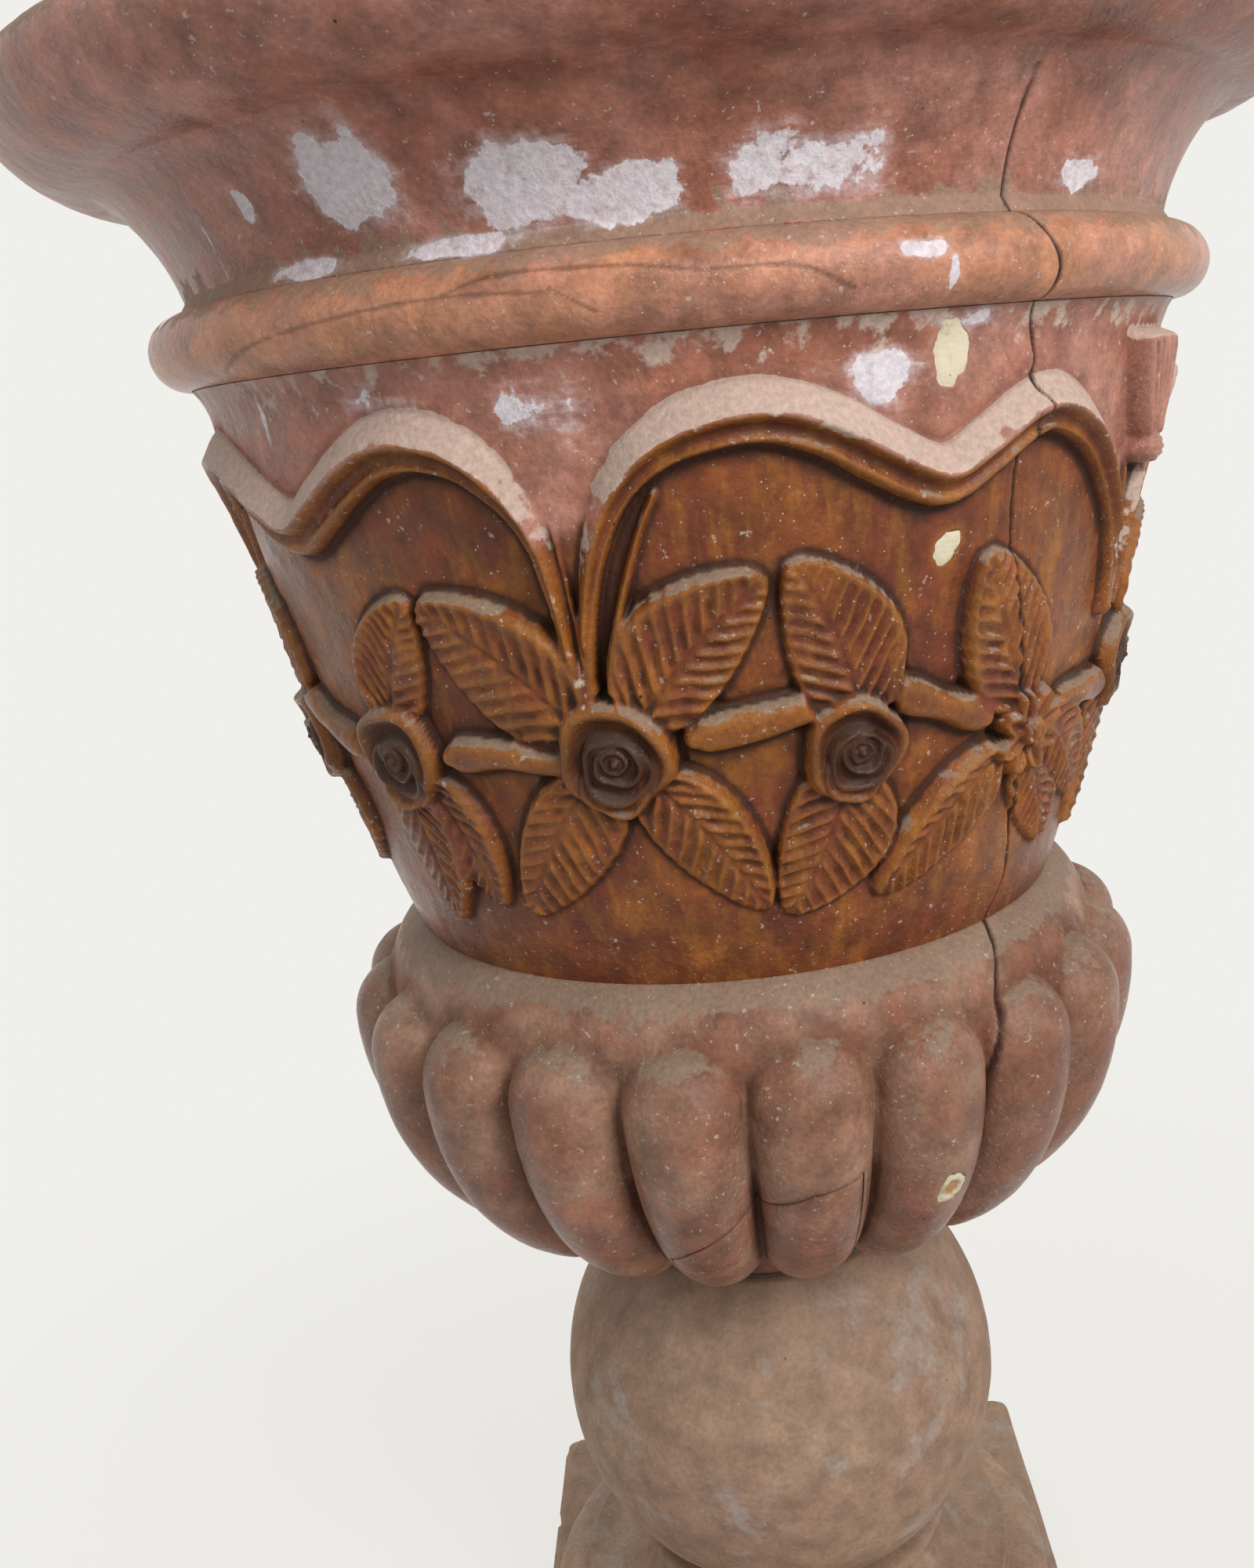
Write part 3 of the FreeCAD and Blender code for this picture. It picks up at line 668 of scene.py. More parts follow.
def sink_field(skin, paths):
    """Cuts the ground back under the ribbons and marks that polished field."""
    field = np.zeros_like(skin.relief)
    for bundle, path in paths:
        turn, line = np.array(path, float).T
        columns = np.nonzero((skin.azimuth - bundle - turn[0]) % 360 < 360 / RIBBON_REPEATS)[0]
        at = (skin.azimuth[columns] - bundle - turn[0]) % 360 + turn[0]
        field[:, columns] = smooth(6, -6, skin.z[:, None] - np.interp(at, turn, line))
    field = blurred(field, 2)
    skin.relief -= FIELD_SINK * field * smooth(*FIELD_FADE, skin.z)[:, None]
    skin.marks["wax"] = np.clip(np.maximum(field, smooth(*BUNDLE_WAX, skin.z)[:, None]), 0, 1)


def carve(skin):
    """The whole frieze: ribbons, twigs, leaves and flowers over a sunk field."""
    step = 360 / RIBBON_REPEATS
    paths = []
    for k in range(RIBBON_REPEATS):
        fall = RIBBON_FALL if k else FRONT_FALL
        paths.append((FIRST_RIBBON + k * step, RIBBON_RISE + fall))
    sink_field(skin, paths)
    ground = skin.relief.copy()
    for k, (bundle, path) in enumerate(paths):
        ribbon(skin, bundle, path)
        for line in STRANDS:
            strand(skin, [(bundle + a, h) for a, h in line])
        if k in BOW_BUNDLES:
            bow(skin, bundle)
    for azimuth, height, motif in MOTIFS:
        twig(skin, [(azimuth + a, height + h) for a, h in motif["twig"]])
    for azimuth, height, motif in MOTIFS:
        for base, tip, widths, roll in motif["leaves"]:
            base = (azimuth + base[0], height + base[1])
            leaf(skin, base, (azimuth + tip[0], height + tip[1]), widths, roll)
    for azimuth, height, motif in MOTIFS:
        flower = open_flower if motif is OPEN_FLOWER else rose
        flower(skin, azimuth, height, motif["radius"])
    carved = smooth(0.5, 3.0, skin.relief - ground)
    skin.relief -= (1 - carved) * RECESS_SINK * smooth(0.35, 0.85, blurred(carved, 6))
    skin.relief = blurred(skin.relief, 0.8)


def ragged(angle):
    """Outline of a fill round its middle, as a factor on an oval."""
    return 1 + 0.10 * np.sin(2 * angle + 0.7) + 0.08 * np.sin(3 * angle + 2.0) + 0.05 * np.sin(7 * angle)


def sink_fill(skin, fill):
    """Cuts the bed of a repair fill, with a ragged outline."""
    points = skin.points()[:skin.shown]
    turn = (skin.azimuth - fill["at"][0] + 180) % 360 - 180
    columns = np.nonzero(np.abs(turn) < 12)[0]
    right = np.radians(turn[columns]) * np.hypot(points[:, columns, 0], points[:, columns, 1])
    up = points[:, columns, 2] - skin.base_z - fill["at"][1]
    tilt = math.radians(fill["tilt"])
    across = (right * math.cos(tilt) + up * math.sin(tilt)) / fill["half"][0]
    along = (up * math.cos(tilt) - right * math.sin(tilt)) / fill["half"][1]
    gap = np.hypot(across, along) / ragged(np.arctan2(along, across))
    skin.relief[:skin.shown, columns] -= FILL_DEPTH * smooth(1.0, 0.84, gap)


def fill_piece(name, points, skin, material):
    """Plaster repair in its bed, which laps a little over the stone and may be worn in its middle."""
    fill = FILLS[name]
    angle = np.linspace(0, 2 * math.pi, FILL_SPOKES, endpoint=False)
    share = np.linspace(0.1, 1.06, FILL_RINGS)[:, None]
    across = share * ragged(angle) * np.cos(angle) * fill["half"][0]
    along = share * ragged(angle) * np.sin(angle) * fill["half"][1]
    tilt = math.radians(fill["tilt"])
    right = across * math.cos(tilt) - along * math.sin(tilt)
    height = fill["at"][1] + across * math.sin(tilt) + along * math.cos(tilt)
    middle = np.argmin(np.abs(skin.azimuth - fill["at"][0]))
    face = points[:skin.shown]
    radius = np.hypot(*face[np.argmin(np.abs(face[:, middle, 2] - skin.base_z - fill["at"][1])), middle, :2])
    azimuth = fill["at"][0] + np.degrees(right / radius)
    top = np.zeros((*height.shape, 3))
    for spot in np.ndindex(*height.shape):
        column = (azimuth[spot] + 180) / 360 * len(skin.azimuth)
        low = int(column)
        for k, part in ((low, 1 - column + low), (low + 1, column - low)):
            levels = face[:, k, 2] - skin.base_z
            place = [np.interp(height[spot], levels, face[:, k, axis]) for axis in range(3)]
            top[spot] += part * np.array(place)
    away = np.array([math.sin(math.radians(fill["at"][0])), -math.cos(math.radians(fill["at"][0])), 0])
    worn = smooth(fill["worn"] + 0.05, fill["worn"] - 0.15, share) + 0 * angle
    lump = 0.6 * noise(top, 9, 3, 2.0) + 0.7 - 0.9 * share ** 6 - 2.5 * worn
    bottom = top - (FILL_DEPTH - 1.0) * away * (1 - smooth(0.85, 1.06, share))[..., None]
    top = top + lump[..., None] * away
    points = np.concatenate([bottom, top[::-1]])
    index = numbered(points)
    faces = cells(index, close_columns=True).tolist() + [index[0, ::-1].tolist(), index[-1].tolist()]
    marks = {"worn": np.concatenate([worn, worn[::-1]])}
    piece = mesh_piece(name + "_plaster", points, faces, marks, "bowl", material)
    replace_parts(piece, name)


def make_frieze(material, plaster):
    """Bell of the bowl from the waist to the torus, in panels, with its two repair fills."""
    corners = [(*WAIST, 0), (*BODY_FOOT, BODY_SWELL), (*BODY_TOP, COVE_SWELL), (*TORUS_LOW, 0)]
    face = trace(corners, FRIEZE_SPACING)
    inside = trace([(*INSIDE_LOW, -BODY_SWELL), (*INSIDE_WAIST, 0)], COARSEST)
    skin = Skin(face, inside, FRIEZE_COLUMNS, TORUS_Z)
    carve(skin)
    skin.weather(waves=1.0, grain=0.55)
    skin.crack(CRACK, *CRACK_CUT)
    skin.settle(0.0)
    skin.smear(LIME)
    skin.marks["dust"] += smooth(*TORUS_DUST, skin.z)[:, None]
    skin.stain_inside()
    whole = skin.points()
    for name in ("fill_band", "fill_frieze"):
        sink_fill(skin, FILLS[name])
    skin.mark_recesses(3.0)
    points = skin.points()
    normals = grid_normals(points)
    width = FRIEZE_COLUMNS // FRIEZE_PANELS
    for panel in range(FRIEZE_PANELS):
        picked = (np.arange(width + 1) + panel * width + width // 2) % FRIEZE_COLUMNS
        index = numbered(points[:, picked])
        faces = cells(index, close_rows=True).tolist() + [index[:, 0].tolist(), index[::-1, -1].tolist()]
        marks = {key: values[:, picked] for key, values in skin.marks.items()}
        name = f"bowl_frieze_{panel}"
        piece = mesh_piece(name, points[:, picked], faces, marks, "bowl", material,
                           normals[:, picked])
        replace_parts(piece, "bowl")
    for name in ("fill_band", "fill_frieze"):
        fill_piece(name, whole, skin, plaster)


def make_band(material):
    """Torus band under the neck."""
    face = trace([(*TORUS_LOW, TORUS_SWELL), (*TORUS_TOP, 0)], BAND_SPACING)
    inside = trace([(*INSIDE_TOP, 0), (*INSIDE_LOW, 0)], COARSE)
    skin = Skin(face, inside, BAND_COLUMNS, TORUS_Z)
    skin.weather()
    skin.crack(CRACK, *RIM_CRACK_CUT)
    for path in HAIRLINES:
        skin.crack(path, *HAIRLINE_CUT)
    skin.settle(0.0)
    skin.smear(LIME)
    skin.stain_inside()
    skin.mark_recesses(3.0)
    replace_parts(ring_piece("bowl_band", skin, "bowl", material), "bowl")


def make_rim(material):
    """Neck cove, flaring neck, lip and rolled rim, with the mouth of the planting hollow."""
    corners = [
        (*TORUS_TOP, 0), (*NECK, NECK_SWELL), (*NECK_TOP, 0), (*LIP, LIP_SWELL), (*LIP_TIP, RIM_SWELL),
        (*RIM_OUTER, 0), (*RIM_INNER, -NECK_SWELL), (*INSIDE_NECK, 0), (*INSIDE_TOP, 0),
    ]
    face = trace(corners, FINE)
    inside = trace([(*INSIDE_TOP, 0), (*TORUS_TOP, 0)], COARSE)[1:-1]
    skin = Skin(face, inside, RIM_COLUMNS, TORUS_Z)
    skin.weather()
    skin.crack(CRACK, *RIM_CRACK_CUT)
    skin.settle(0.0)
    skin.smear(LIME)
    skin.marks["dust"] += smooth(*NECK_DUST, skin.z)[:, None]
    skin.mark_recesses(2.0)
    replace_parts(ring_piece("bowl_rim", skin, "bowl", material), "bowl")


def lobe_reach(ground, ways, azimuths):
    """Distance from the heart of the underside to the lobes, for each row's direction and azimuth."""
    spine = trace([(*LOBE_TOE, LOBE_BOW), (*LOBE_TOP, 0)], SPINE_SPACING)
    radii = np.linspace(TOE_RADIUS, LOBE_RADIUS, len(spine))
    pitch = 360 / LOBE_COUNT
    turn = np.radians((azimuths - FIRST_LOBE + pitch / 2) % pitch - pitch / 2)
    heart = np.array(LOBE_HEART)
    reach = np.zeros((len(ways), len(azimuths)))
    for (r, z), radius in zip(spine, radii):
        lean = ways[:, :1] * (r * np.cos(turn) - heart[0]) + ways[:, 1:] * (z - heart[1])
        off = (r * np.cos(turn) - heart[0]) ** 2 + (r * np.sin(turn)) ** 2 + (z - heart[1]) ** 2
        under = lean ** 2 - off + radius ** 2
        reach = np.maximum(reach, np.where(under > 0, lean + np.sqrt(np.maximum(under, 0)), 0))
    return soft_max(reach, ground[:, None], LOBE_FILLET) - ground[:, None]


def gathered(azimuths, places):
    """Column azimuths with the nearest ones moved onto the given places and their neighbours drawn close."""
    azimuths = azimuths.copy()
    for place in places:
        column = int(np.argmin(np.abs(azimuths - place)))
        azimuths[column - 1:column + 2] = place + BREAK_GROOVE * np.array([-1, 0, 1])
    return azimuths


def follow_break(skin, points):
    """Fractional rows, for each column, that make one row of the grid run along the break line."""
    rows = np.arange(len(points), dtype=float)[:, None] + np.zeros(points.shape[1])
    under = slice(0, skin.shown)
    line = np.interp(skin.azimuth, *np.array(BREAK_LINE).T)
    lowest = np.argmin(points[under, :, 2], axis=0)
    at = np.zeros(len(line))
    for k, low in enumerate(lowest):
        at[k] = np.interp(line[k], points[low:skin.shown, k, 2] - skin.base_z, np.arange(low, skin.shown))
    inside = (skin.azimuth >= BREAK_LEFT) & (skin.azimuth <= BREAK_RIGHT)
    middle = int(round(at[inside].mean()))
    near = smooth(BREAK_LEFT - BREAK_FADE, BREAK_LEFT, skin.azimuth)
    near = near * smooth(BREAK_RIGHT + BREAK_FADE, BREAK_RIGHT, skin.azimuth)
    gap = rows - middle
    pull = np.clip(1 - np.abs(gap) / BREAK_ROWS, 0, 1)
    rows += (at - middle) * near * pull
    rows -= BREAK_PINCH * np.sign(gap) * np.clip(2 - np.abs(gap), 0, 1) * near
    return middle, rows


def resampled(values, rows):
    """A grid read at fractional rows."""
    low = np.clip(rows.astype(int), 0, len(values) - 2)
    part = (rows - low).reshape(rows.shape + (1,) * (values.ndim - 2))
    columns = np.arange(values.shape[1])
    return (1 - part) * values[low, columns] + part * values[low + 1, columns]


def make_gadroon(material, plaster):
    """Underside of the bowl: ring of lobes with a re-glued fragment, seat, socket and hollow floor."""
    seat = trace([(SOCKET_RADIUS, SEAT, 0), (BOSS[0], SEAT, 0), (*BOSS, 0)], FINE)[:-1]
    under = trace([(*BOSS, UNDERBOWL_SWELL), (*SHOULDER, SHOULDER_SWELL), (*WAIST, 0)], FINE)
    corners = [
        (*INSIDE_WAIST, HOLLOW_SWELL), (HOLLOW_FLOOR_RADIUS, HOLLOW_FLOOR, 0),
        (DRAIN_RADIUS, HOLLOW_FLOOR, 0), (DRAIN_RADIUS, SEAT + SOCKET_DEPTH, 0),
        (SOCKET_RADIUS, SEAT + SOCKET_DEPTH, 0), (SOCKET_RADIUS, SEAT, 0),
    ]
    inside = trace(corners, COARSE)[:-1]
    skin = Skin(np.concatenate([seat, under]), inside, LOBE_COUNT * LOBE_COLUMNS, TORUS_Z)
    skin.azimuth = gathered(skin.azimuth, (BREAK_LEFT, BREAK_RIGHT))
    span = slice(len(seat), len(seat) + len(under))
    ways = under - np.array(LOBE_HEART)
    ground = np.hypot(*ways.T)
    ways = ways / ground[:, None]
    skin.out[span] = ways
    skin.relief[span] = lobe_reach(ground, ways, skin.azimuth)
    plain = skin.relief.copy()
    skin.weather()
    skin.crack(LOBE_CRACK, *LOBE_CRACK_CUT)
    skin.settle(plain)
    height = skin.points()[..., 2] - TORUS_Z
    skin.marks["wax"] += 0.9 * smooth(*LOBE_WAX, height)
    skin.marks["dust"] += 0.8 * smooth(*WAIST_DUST, height)
    skin.stain_inside()
    whole = skin.points()
    sink_fill(skin, FILLS["fill_lobe"])
    skin.mark_recesses(2.0)
    split_fragment(skin, material)
    fill_piece("fill_lobe", whole, skin, plaster)


def split_fragment(skin, material):
    """The gadroon ring with a pocket, and the re-glued fragment in it, either side of a dark joint."""
    points = skin.points()
    middle, rows = follow_break(skin, points)
    points = resampled(points, rows)
    marks = {key: resampled(values, rows) for key, values in skin.marks.items()}
    angle = np.radians(skin.azimuth)
    heart = np.stack([LOBE_HEART[0] * np.sin(angle), -LOBE_HEART[0] * np.cos(angle),
                      0 * angle + LOBE_HEART[1] + TORUS_Z], axis=-1)
    ways = points - heart
    ways /= np.linalg.norm(ways, axis=-1, keepdims=True)
    left, right = (int(np.argmin(np.abs(skin.azimuth - place))) for place in (BREAK_LEFT, BREAK_RIGHT))
    inner = []
    for column in points[:middle, left:right].transpose(1, 0, 2):
        gap = np.abs(np.hypot(*column[:, :2].T) - BREAK_INNER_RADIUS)
        gap[column[:, 2] > column[:, 2].min() + BREAK_UNDERSIDE] = np.inf
        inner.append(np.argmin(gap))
    low = int(np.median(inner))
    region = (slice(low, middle + 1), slice(left, right + 1))
    joint = np.zeros(points.shape[:2])
    joint[middle, left:right + 1] = 1
    joint[low:middle + 1, [left, right]] = 1
    marks["crack"] = np.maximum(marks["crack"], joint)
    points -= BREAK_GROOVE_DEPTH * joint[..., None] * ways
    index = numbered(points)
    behind = (points - BREAK_DEPTH * ways)[region]
    pocket = numbered(behind) + points[..., 0].size
    open_cells = np.ones(index.shape, bool)
    open_cells[low:middle, left:right] = False
    faces = cells(index, True, True)[open_cells.ravel()]
    faces = np.concatenate([faces, cells(pocket), wall(index[region], pocket)[:, ::-1]]).tolist()
    grid = np.concatenate([points.reshape(-1, 3), behind.reshape(-1, 3)])
    all_marks = {}
    for key, values in marks.items():
        all_marks[key] = np.concatenate([values.ravel(), values[region].ravel()])
    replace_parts(mesh_piece("bowl_gadroon", grid, faces, all_marks, "bowl", material), "bowl")
    front = points[region] - BREAK_GAP * joint[region][..., None] * ways[region]
    back = (points - (BREAK_DEPTH - BREAK_GAP) * ways)[region]
    index = numbered(front)
    behind = index + index.size
    faces = np.concatenate([cells(index), cells(behind)[:, ::-1], wall(index, behind)]).tolist()
    grid = np.concatenate([front.reshape(-1, 3), back.reshape(-1, 3)])
    all_marks = {key: np.tile(values[region].ravel(), 2) for key, values in marks.items()}
    piece = mesh_piece("glued_lobe_tips", grid, faces, all_marks, "bowl", material)
    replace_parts(piece, "lobe_fragment")


def turned_piece(name, corners, body, material):
    """Weathered stone turned from a closed outline and bored along the axis."""
    rows = trace(corners + corners[:1], FINE)[:-1]
    skin = Skin(rows, rows[:0], PLAIN_COLUMNS, 0.0)
    skin.weather(waves=1.0)
    skin.relief[np.abs(skin.out[:, 1]) > 0.999] = 0
    skin.relief[skin.r < UNWORN_RADIUS] = 0
    skin.mark_recesses(3.0)
    return ring_piece(name, skin, body, material)


def make_stem(material):
    """Ball stem with its drain and a tube socket in each end."""
    low, high = level("stem", 0), level("stem", 1)
    lower, upper = low + SOCKET_DEPTH, high - SOCKET_DEPTH
    corners = [
        (STEM_END_RADIUS, low, BALL_RADIUS - STEM_END_RADIUS), (STEM_END_RADIUS, high, 0),
        (SOCKET_RADIUS, high, 0), (SOCKET_RADIUS, upper, 0), (DRAIN_RADIUS, upper, 0),
        (DRAIN_RADIUS, lower, 0), (SOCKET_RADIUS, lower, 0), (SOCKET_RADIUS, low, 0),
    ]
    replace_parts(turned_piece("ball_stem", corners, "stem", material), "stem")


def make_foot(material):
    """Round foot: a fat torus, a fillet, a scotia and a collar."""
    low, high = level("foot", 0), level("foot", 1)
    fillet = FOOT_RADIUS - FOOT_FILLET
    corners = [
        (FOOT_RADIUS, low, FOOT_BULGE), (FOOT_RADIUS, low + FOOT_TORUS, 0), (fillet, low + FOOT_TORUS, 0),
        (fillet, low + FOOT_TORUS + FOOT_FILLET, -FOOT_SCOTIA),
        (FOOT_NECK, high - FOOT_COLLAR, FOOT_COLLAR / 2), (FOOT_NECK, high, 0),
        (SOCKET_RADIUS, high, 0), (SOCKET_RADIUS, low, 0),
    ]
    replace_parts(turned_piece("round_foot", corners, "base", material), "foot")


def make_plinth(material):
    """Square slab with worn corners: a turned outline drawn out to a square towards its sides."""
    high = level("plinth", 1)
    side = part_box("plinth")[1].x / MM
    corners = [
        (side, 0, 0), (side, high - PLINTH_CHAMFER, 0), (side - PLINTH_CHAMFER, high, 0),
        (SOCKET_RADIUS, high, 0), (SOCKET_RADIUS, PLINTH_SOCKET_FLOOR, 0),
        (DRAIN_RADIUS, PLINTH_SOCKET_FLOOR, 0), (DRAIN_RADIUS, 0, 0),
    ]
    rows = trace(corners + corners[:1], PLINTH_SPACING)[:-1]
    skin = Skin(rows, rows[:0], PLAIN_COLUMNS, 0.0)
    turn = np.radians(skin.azimuth)
    across, along = np.abs(np.sin(turn)), np.abs(np.cos(turn))
    square = (across ** PLINTH_CORNER + along ** PLINTH_CORNER) ** (-1 / PLINTH_CORNER)
    draw = 1 + smooth(SOCKET_RADIUS, side - PLINTH_CHAMFER, skin.r)[:, None] * (square - 1)
    points = skin.points()
    points[..., :2] *= draw[..., None]
    worn = smooth(DRAIN_RADIUS + 20, side, skin.r)[:, None] * (skin.z > 1)[:, None]
    edge = (np.abs(skin.r - side) < PLINTH_CHAMFER + 2)[:, None]
    chip = smooth(0.25, 0.7, noise(points, 34, 3, 8.0)) * edge
    points[..., 2] -= worn * (PLINTH_WEAR + PLINTH_WEAR * noise(points, 60, 3)) + PLINTH_CHIP * chip * worn
    lost = PLINTH_SIDE_WEAR * worn * (1 + noise(points, 90, 3, 2.0)) + PLINTH_SIDE_CHIP * chip * worn
    points[..., :2] *= 1 - lost[..., None]
    skin.mark_recesses(3.0)
    faces = cells(numbered(points), True, True).tolist()
    piece = mesh_piece("square_plinth", points, faces, skin.marks, "base", material)
    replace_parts(piece, "plinth")


# Colours, linear
WAX_BROWN = (0.26, 0.080, 0.018, 1)
WAX_RED = (0.17, 0.042, 0.017, 1)
WAX_OCHRE = (0.36, 0.140, 0.022, 1)
DRY_PINK = (0.45, 0.215, 0.165, 1)
DRY_RED = (0.33, 0.125, 0.080, 1)
BAND_ORANGE = (0.51, 0.230, 0.125, 1)
BAND_ROSE = (0.49, 0.225, 0.160, 1)
LOBE_TAN = (0.35, 0.205, 0.140, 1)
LOBE_RED = (0.23, 0.092, 0.054, 1)
DUST = (0.30, 0.220, 0.160, 1)
PALE_DUST = (0.58, 0.450, 0.380, 1)
LIME_WHITE = (0.72, 0.67, 0.72, 1)
DEEP = (0.030, 0.012, 0.008, 1)
PIT = (0.020, 0.020, 0.017, 1)
FLECK = (0.62, 0.54, 0.49, 1)
PALE_TAN = (0.38, 0.255, 0.175, 1)
PALE_ROSE = (0.33, 0.205, 0.145, 1)
PALE_GREY = (0.43, 0.37, 0.335, 1)
CREAM = (0.72, 0.65, 0.49, 1)
HONEY = (0.42, 0.23, 0.09, 1)
LEAD_GREY = (0.10, 0.095, 0.09, 1)
LEAD_PALE = (0.22, 0.21, 0.20, 1)
STEEL_GREY = (0.45, 0.45, 0.45, 1)
RUST = (0.24, 0.09, 0.03, 1)
MORTAR_GREY = (0.50, 0.46, 0.40, 1)
MORTAR_DARK = (0.33, 0.29, 0.25, 1)
BACKGROUND = (0.871, 0.863, 0.831, 1)

# Finish that the materials share: strength of the bumps and of the highlights
BUMP = 0.8
SHINE = 0.25


class Tree:
    """Node tree of a material or world, with short ways to add linked nodes. Sizes are in millimetres."""

    def __init__(self, owner):
        owner.use_nodes = True
        self.owner = owner
        self.nodes = owner.node_tree.nodes
        self.shader = self.nodes.get("Principled BSDF")

    def place(self):
        """Place on the object."""
        return self.add("ShaderNodeTexCoord").outputs["Object"]

    def feed(self, socket, value):
        """Links a socket, or sets its value."""
        if isinstance(value, bpy.types.NodeSocket):
            self.owner.node_tree.links.new(value, socket)
        else:
            socket.default_value = value

    def add(self, kind, inputs=None, **settings):
        """A new node with its settings and inputs."""
        node = self.nodes.new(kind)
        for key, value in settings.items():
            setattr(node, key, value)
        for key, value in (inputs or {}).items():
            self.feed(node.inputs[key], value)
        return node

    def noise(self, size, detail=4.0, stretch=(1, 1, 1)):
        """Noise with features of about this size, drawn out along an axis where stretch is small."""
        drawn = self.add("ShaderNodeVectorMath", {0: self.place(), 1: stretch}, operation="MULTIPLY")
        inputs = {"Vector": drawn.outputs[0], "Scale": 1 / (size * MM), "Detail": detail, "Roughness": 0.6}
        return self.add("ShaderNodeTexNoise", inputs).outputs["Fac"]

    def step(self, value, low, high):
        """Soft step of a value from 0 at low to 1 at high."""
        inputs = {"Value": value, "From Min": low, "From Max": high}
        return self.add("ShaderNodeMapRange", inputs, interpolation_type="SMOOTHSTEP").outputs["Result"]

    def math(self, operation, a, b):
        """Arithmetic on two values, kept between 0 and 1."""
        return self.add("ShaderNodeMath", {0: a, 1: b}, operation=operation, use_clamp=True).outputs[0]

    def times(self, a, b):
        """Product of two values."""
        return self.math("MULTIPLY", a, b)

    def plus(self, a, b):
        """Sum of two values, 1 at most."""
        return self.math("ADD", a, b)

    def most(self, a, b):
        """The larger of two values."""
        return self.math("MAXIMUM", a, b)

    def mix(self, share, a, b):
        """Blend of two colours."""
        return self.add("ShaderNodeMix", {0: share, 6: a, 7: b}, data_type="RGBA").outputs[2]

    def shade(self, colour, value, low, high):
        """A colour darkened and lightened by a noise, between two factors."""
        inputs = {"Value": value, "From Min": 0.3, "From Max": 0.7, "To Min": low, "To Max": high}
        factor = self.add("ShaderNodeMapRange", inputs).outputs["Result"]
        return self.add("ShaderNodeVectorMath", {0: colour, "Scale": factor}, operation="SCALE").outputs[0]

    def mark(self, name):
        """A mark stored on the mesh."""
        return self.add("ShaderNodeAttribute", attribute_name=name).outputs["Fac"]

    def specks(self, spacing, size, share):
        """Round specks, about one for each spacing, in a share of the places."""
        node = self.add("ShaderNodeTexVoronoi", {"Vector": self.place(), "Scale": 1 / (spacing * MM)})
        chosen = self.math("LESS_THAN", node.outputs["Color"], share)
        edge = size / spacing
        return self.times(self.step(node.outputs["Distance"], edge, 0.4 * edge), chosen)

    def upward(self):
        """How far the surface faces up."""
        normal = self.add("ShaderNodeNewGeometry").outputs["Normal"]
        return self.add("ShaderNodeSeparateXYZ", {0: normal}).outputs["Z"]

    def finish(self, colour, roughness, height, depth):
        """Feeds the shader, with bumps of about a depth in millimetres."""
        bump = self.add("ShaderNodeBump", {"Height": height, "Distance": depth * MM, "Strength": BUMP})
        self.feed(self.shader.inputs["Base Color"], colour)
        self.feed(self.shader.inputs["Roughness"], roughness)
        self.feed(self.shader.inputs["Specular IOR Level"], SHINE)
        self.feed(self.shader.inputs["Normal"], bump.outputs["Normal"])
        return self.owner


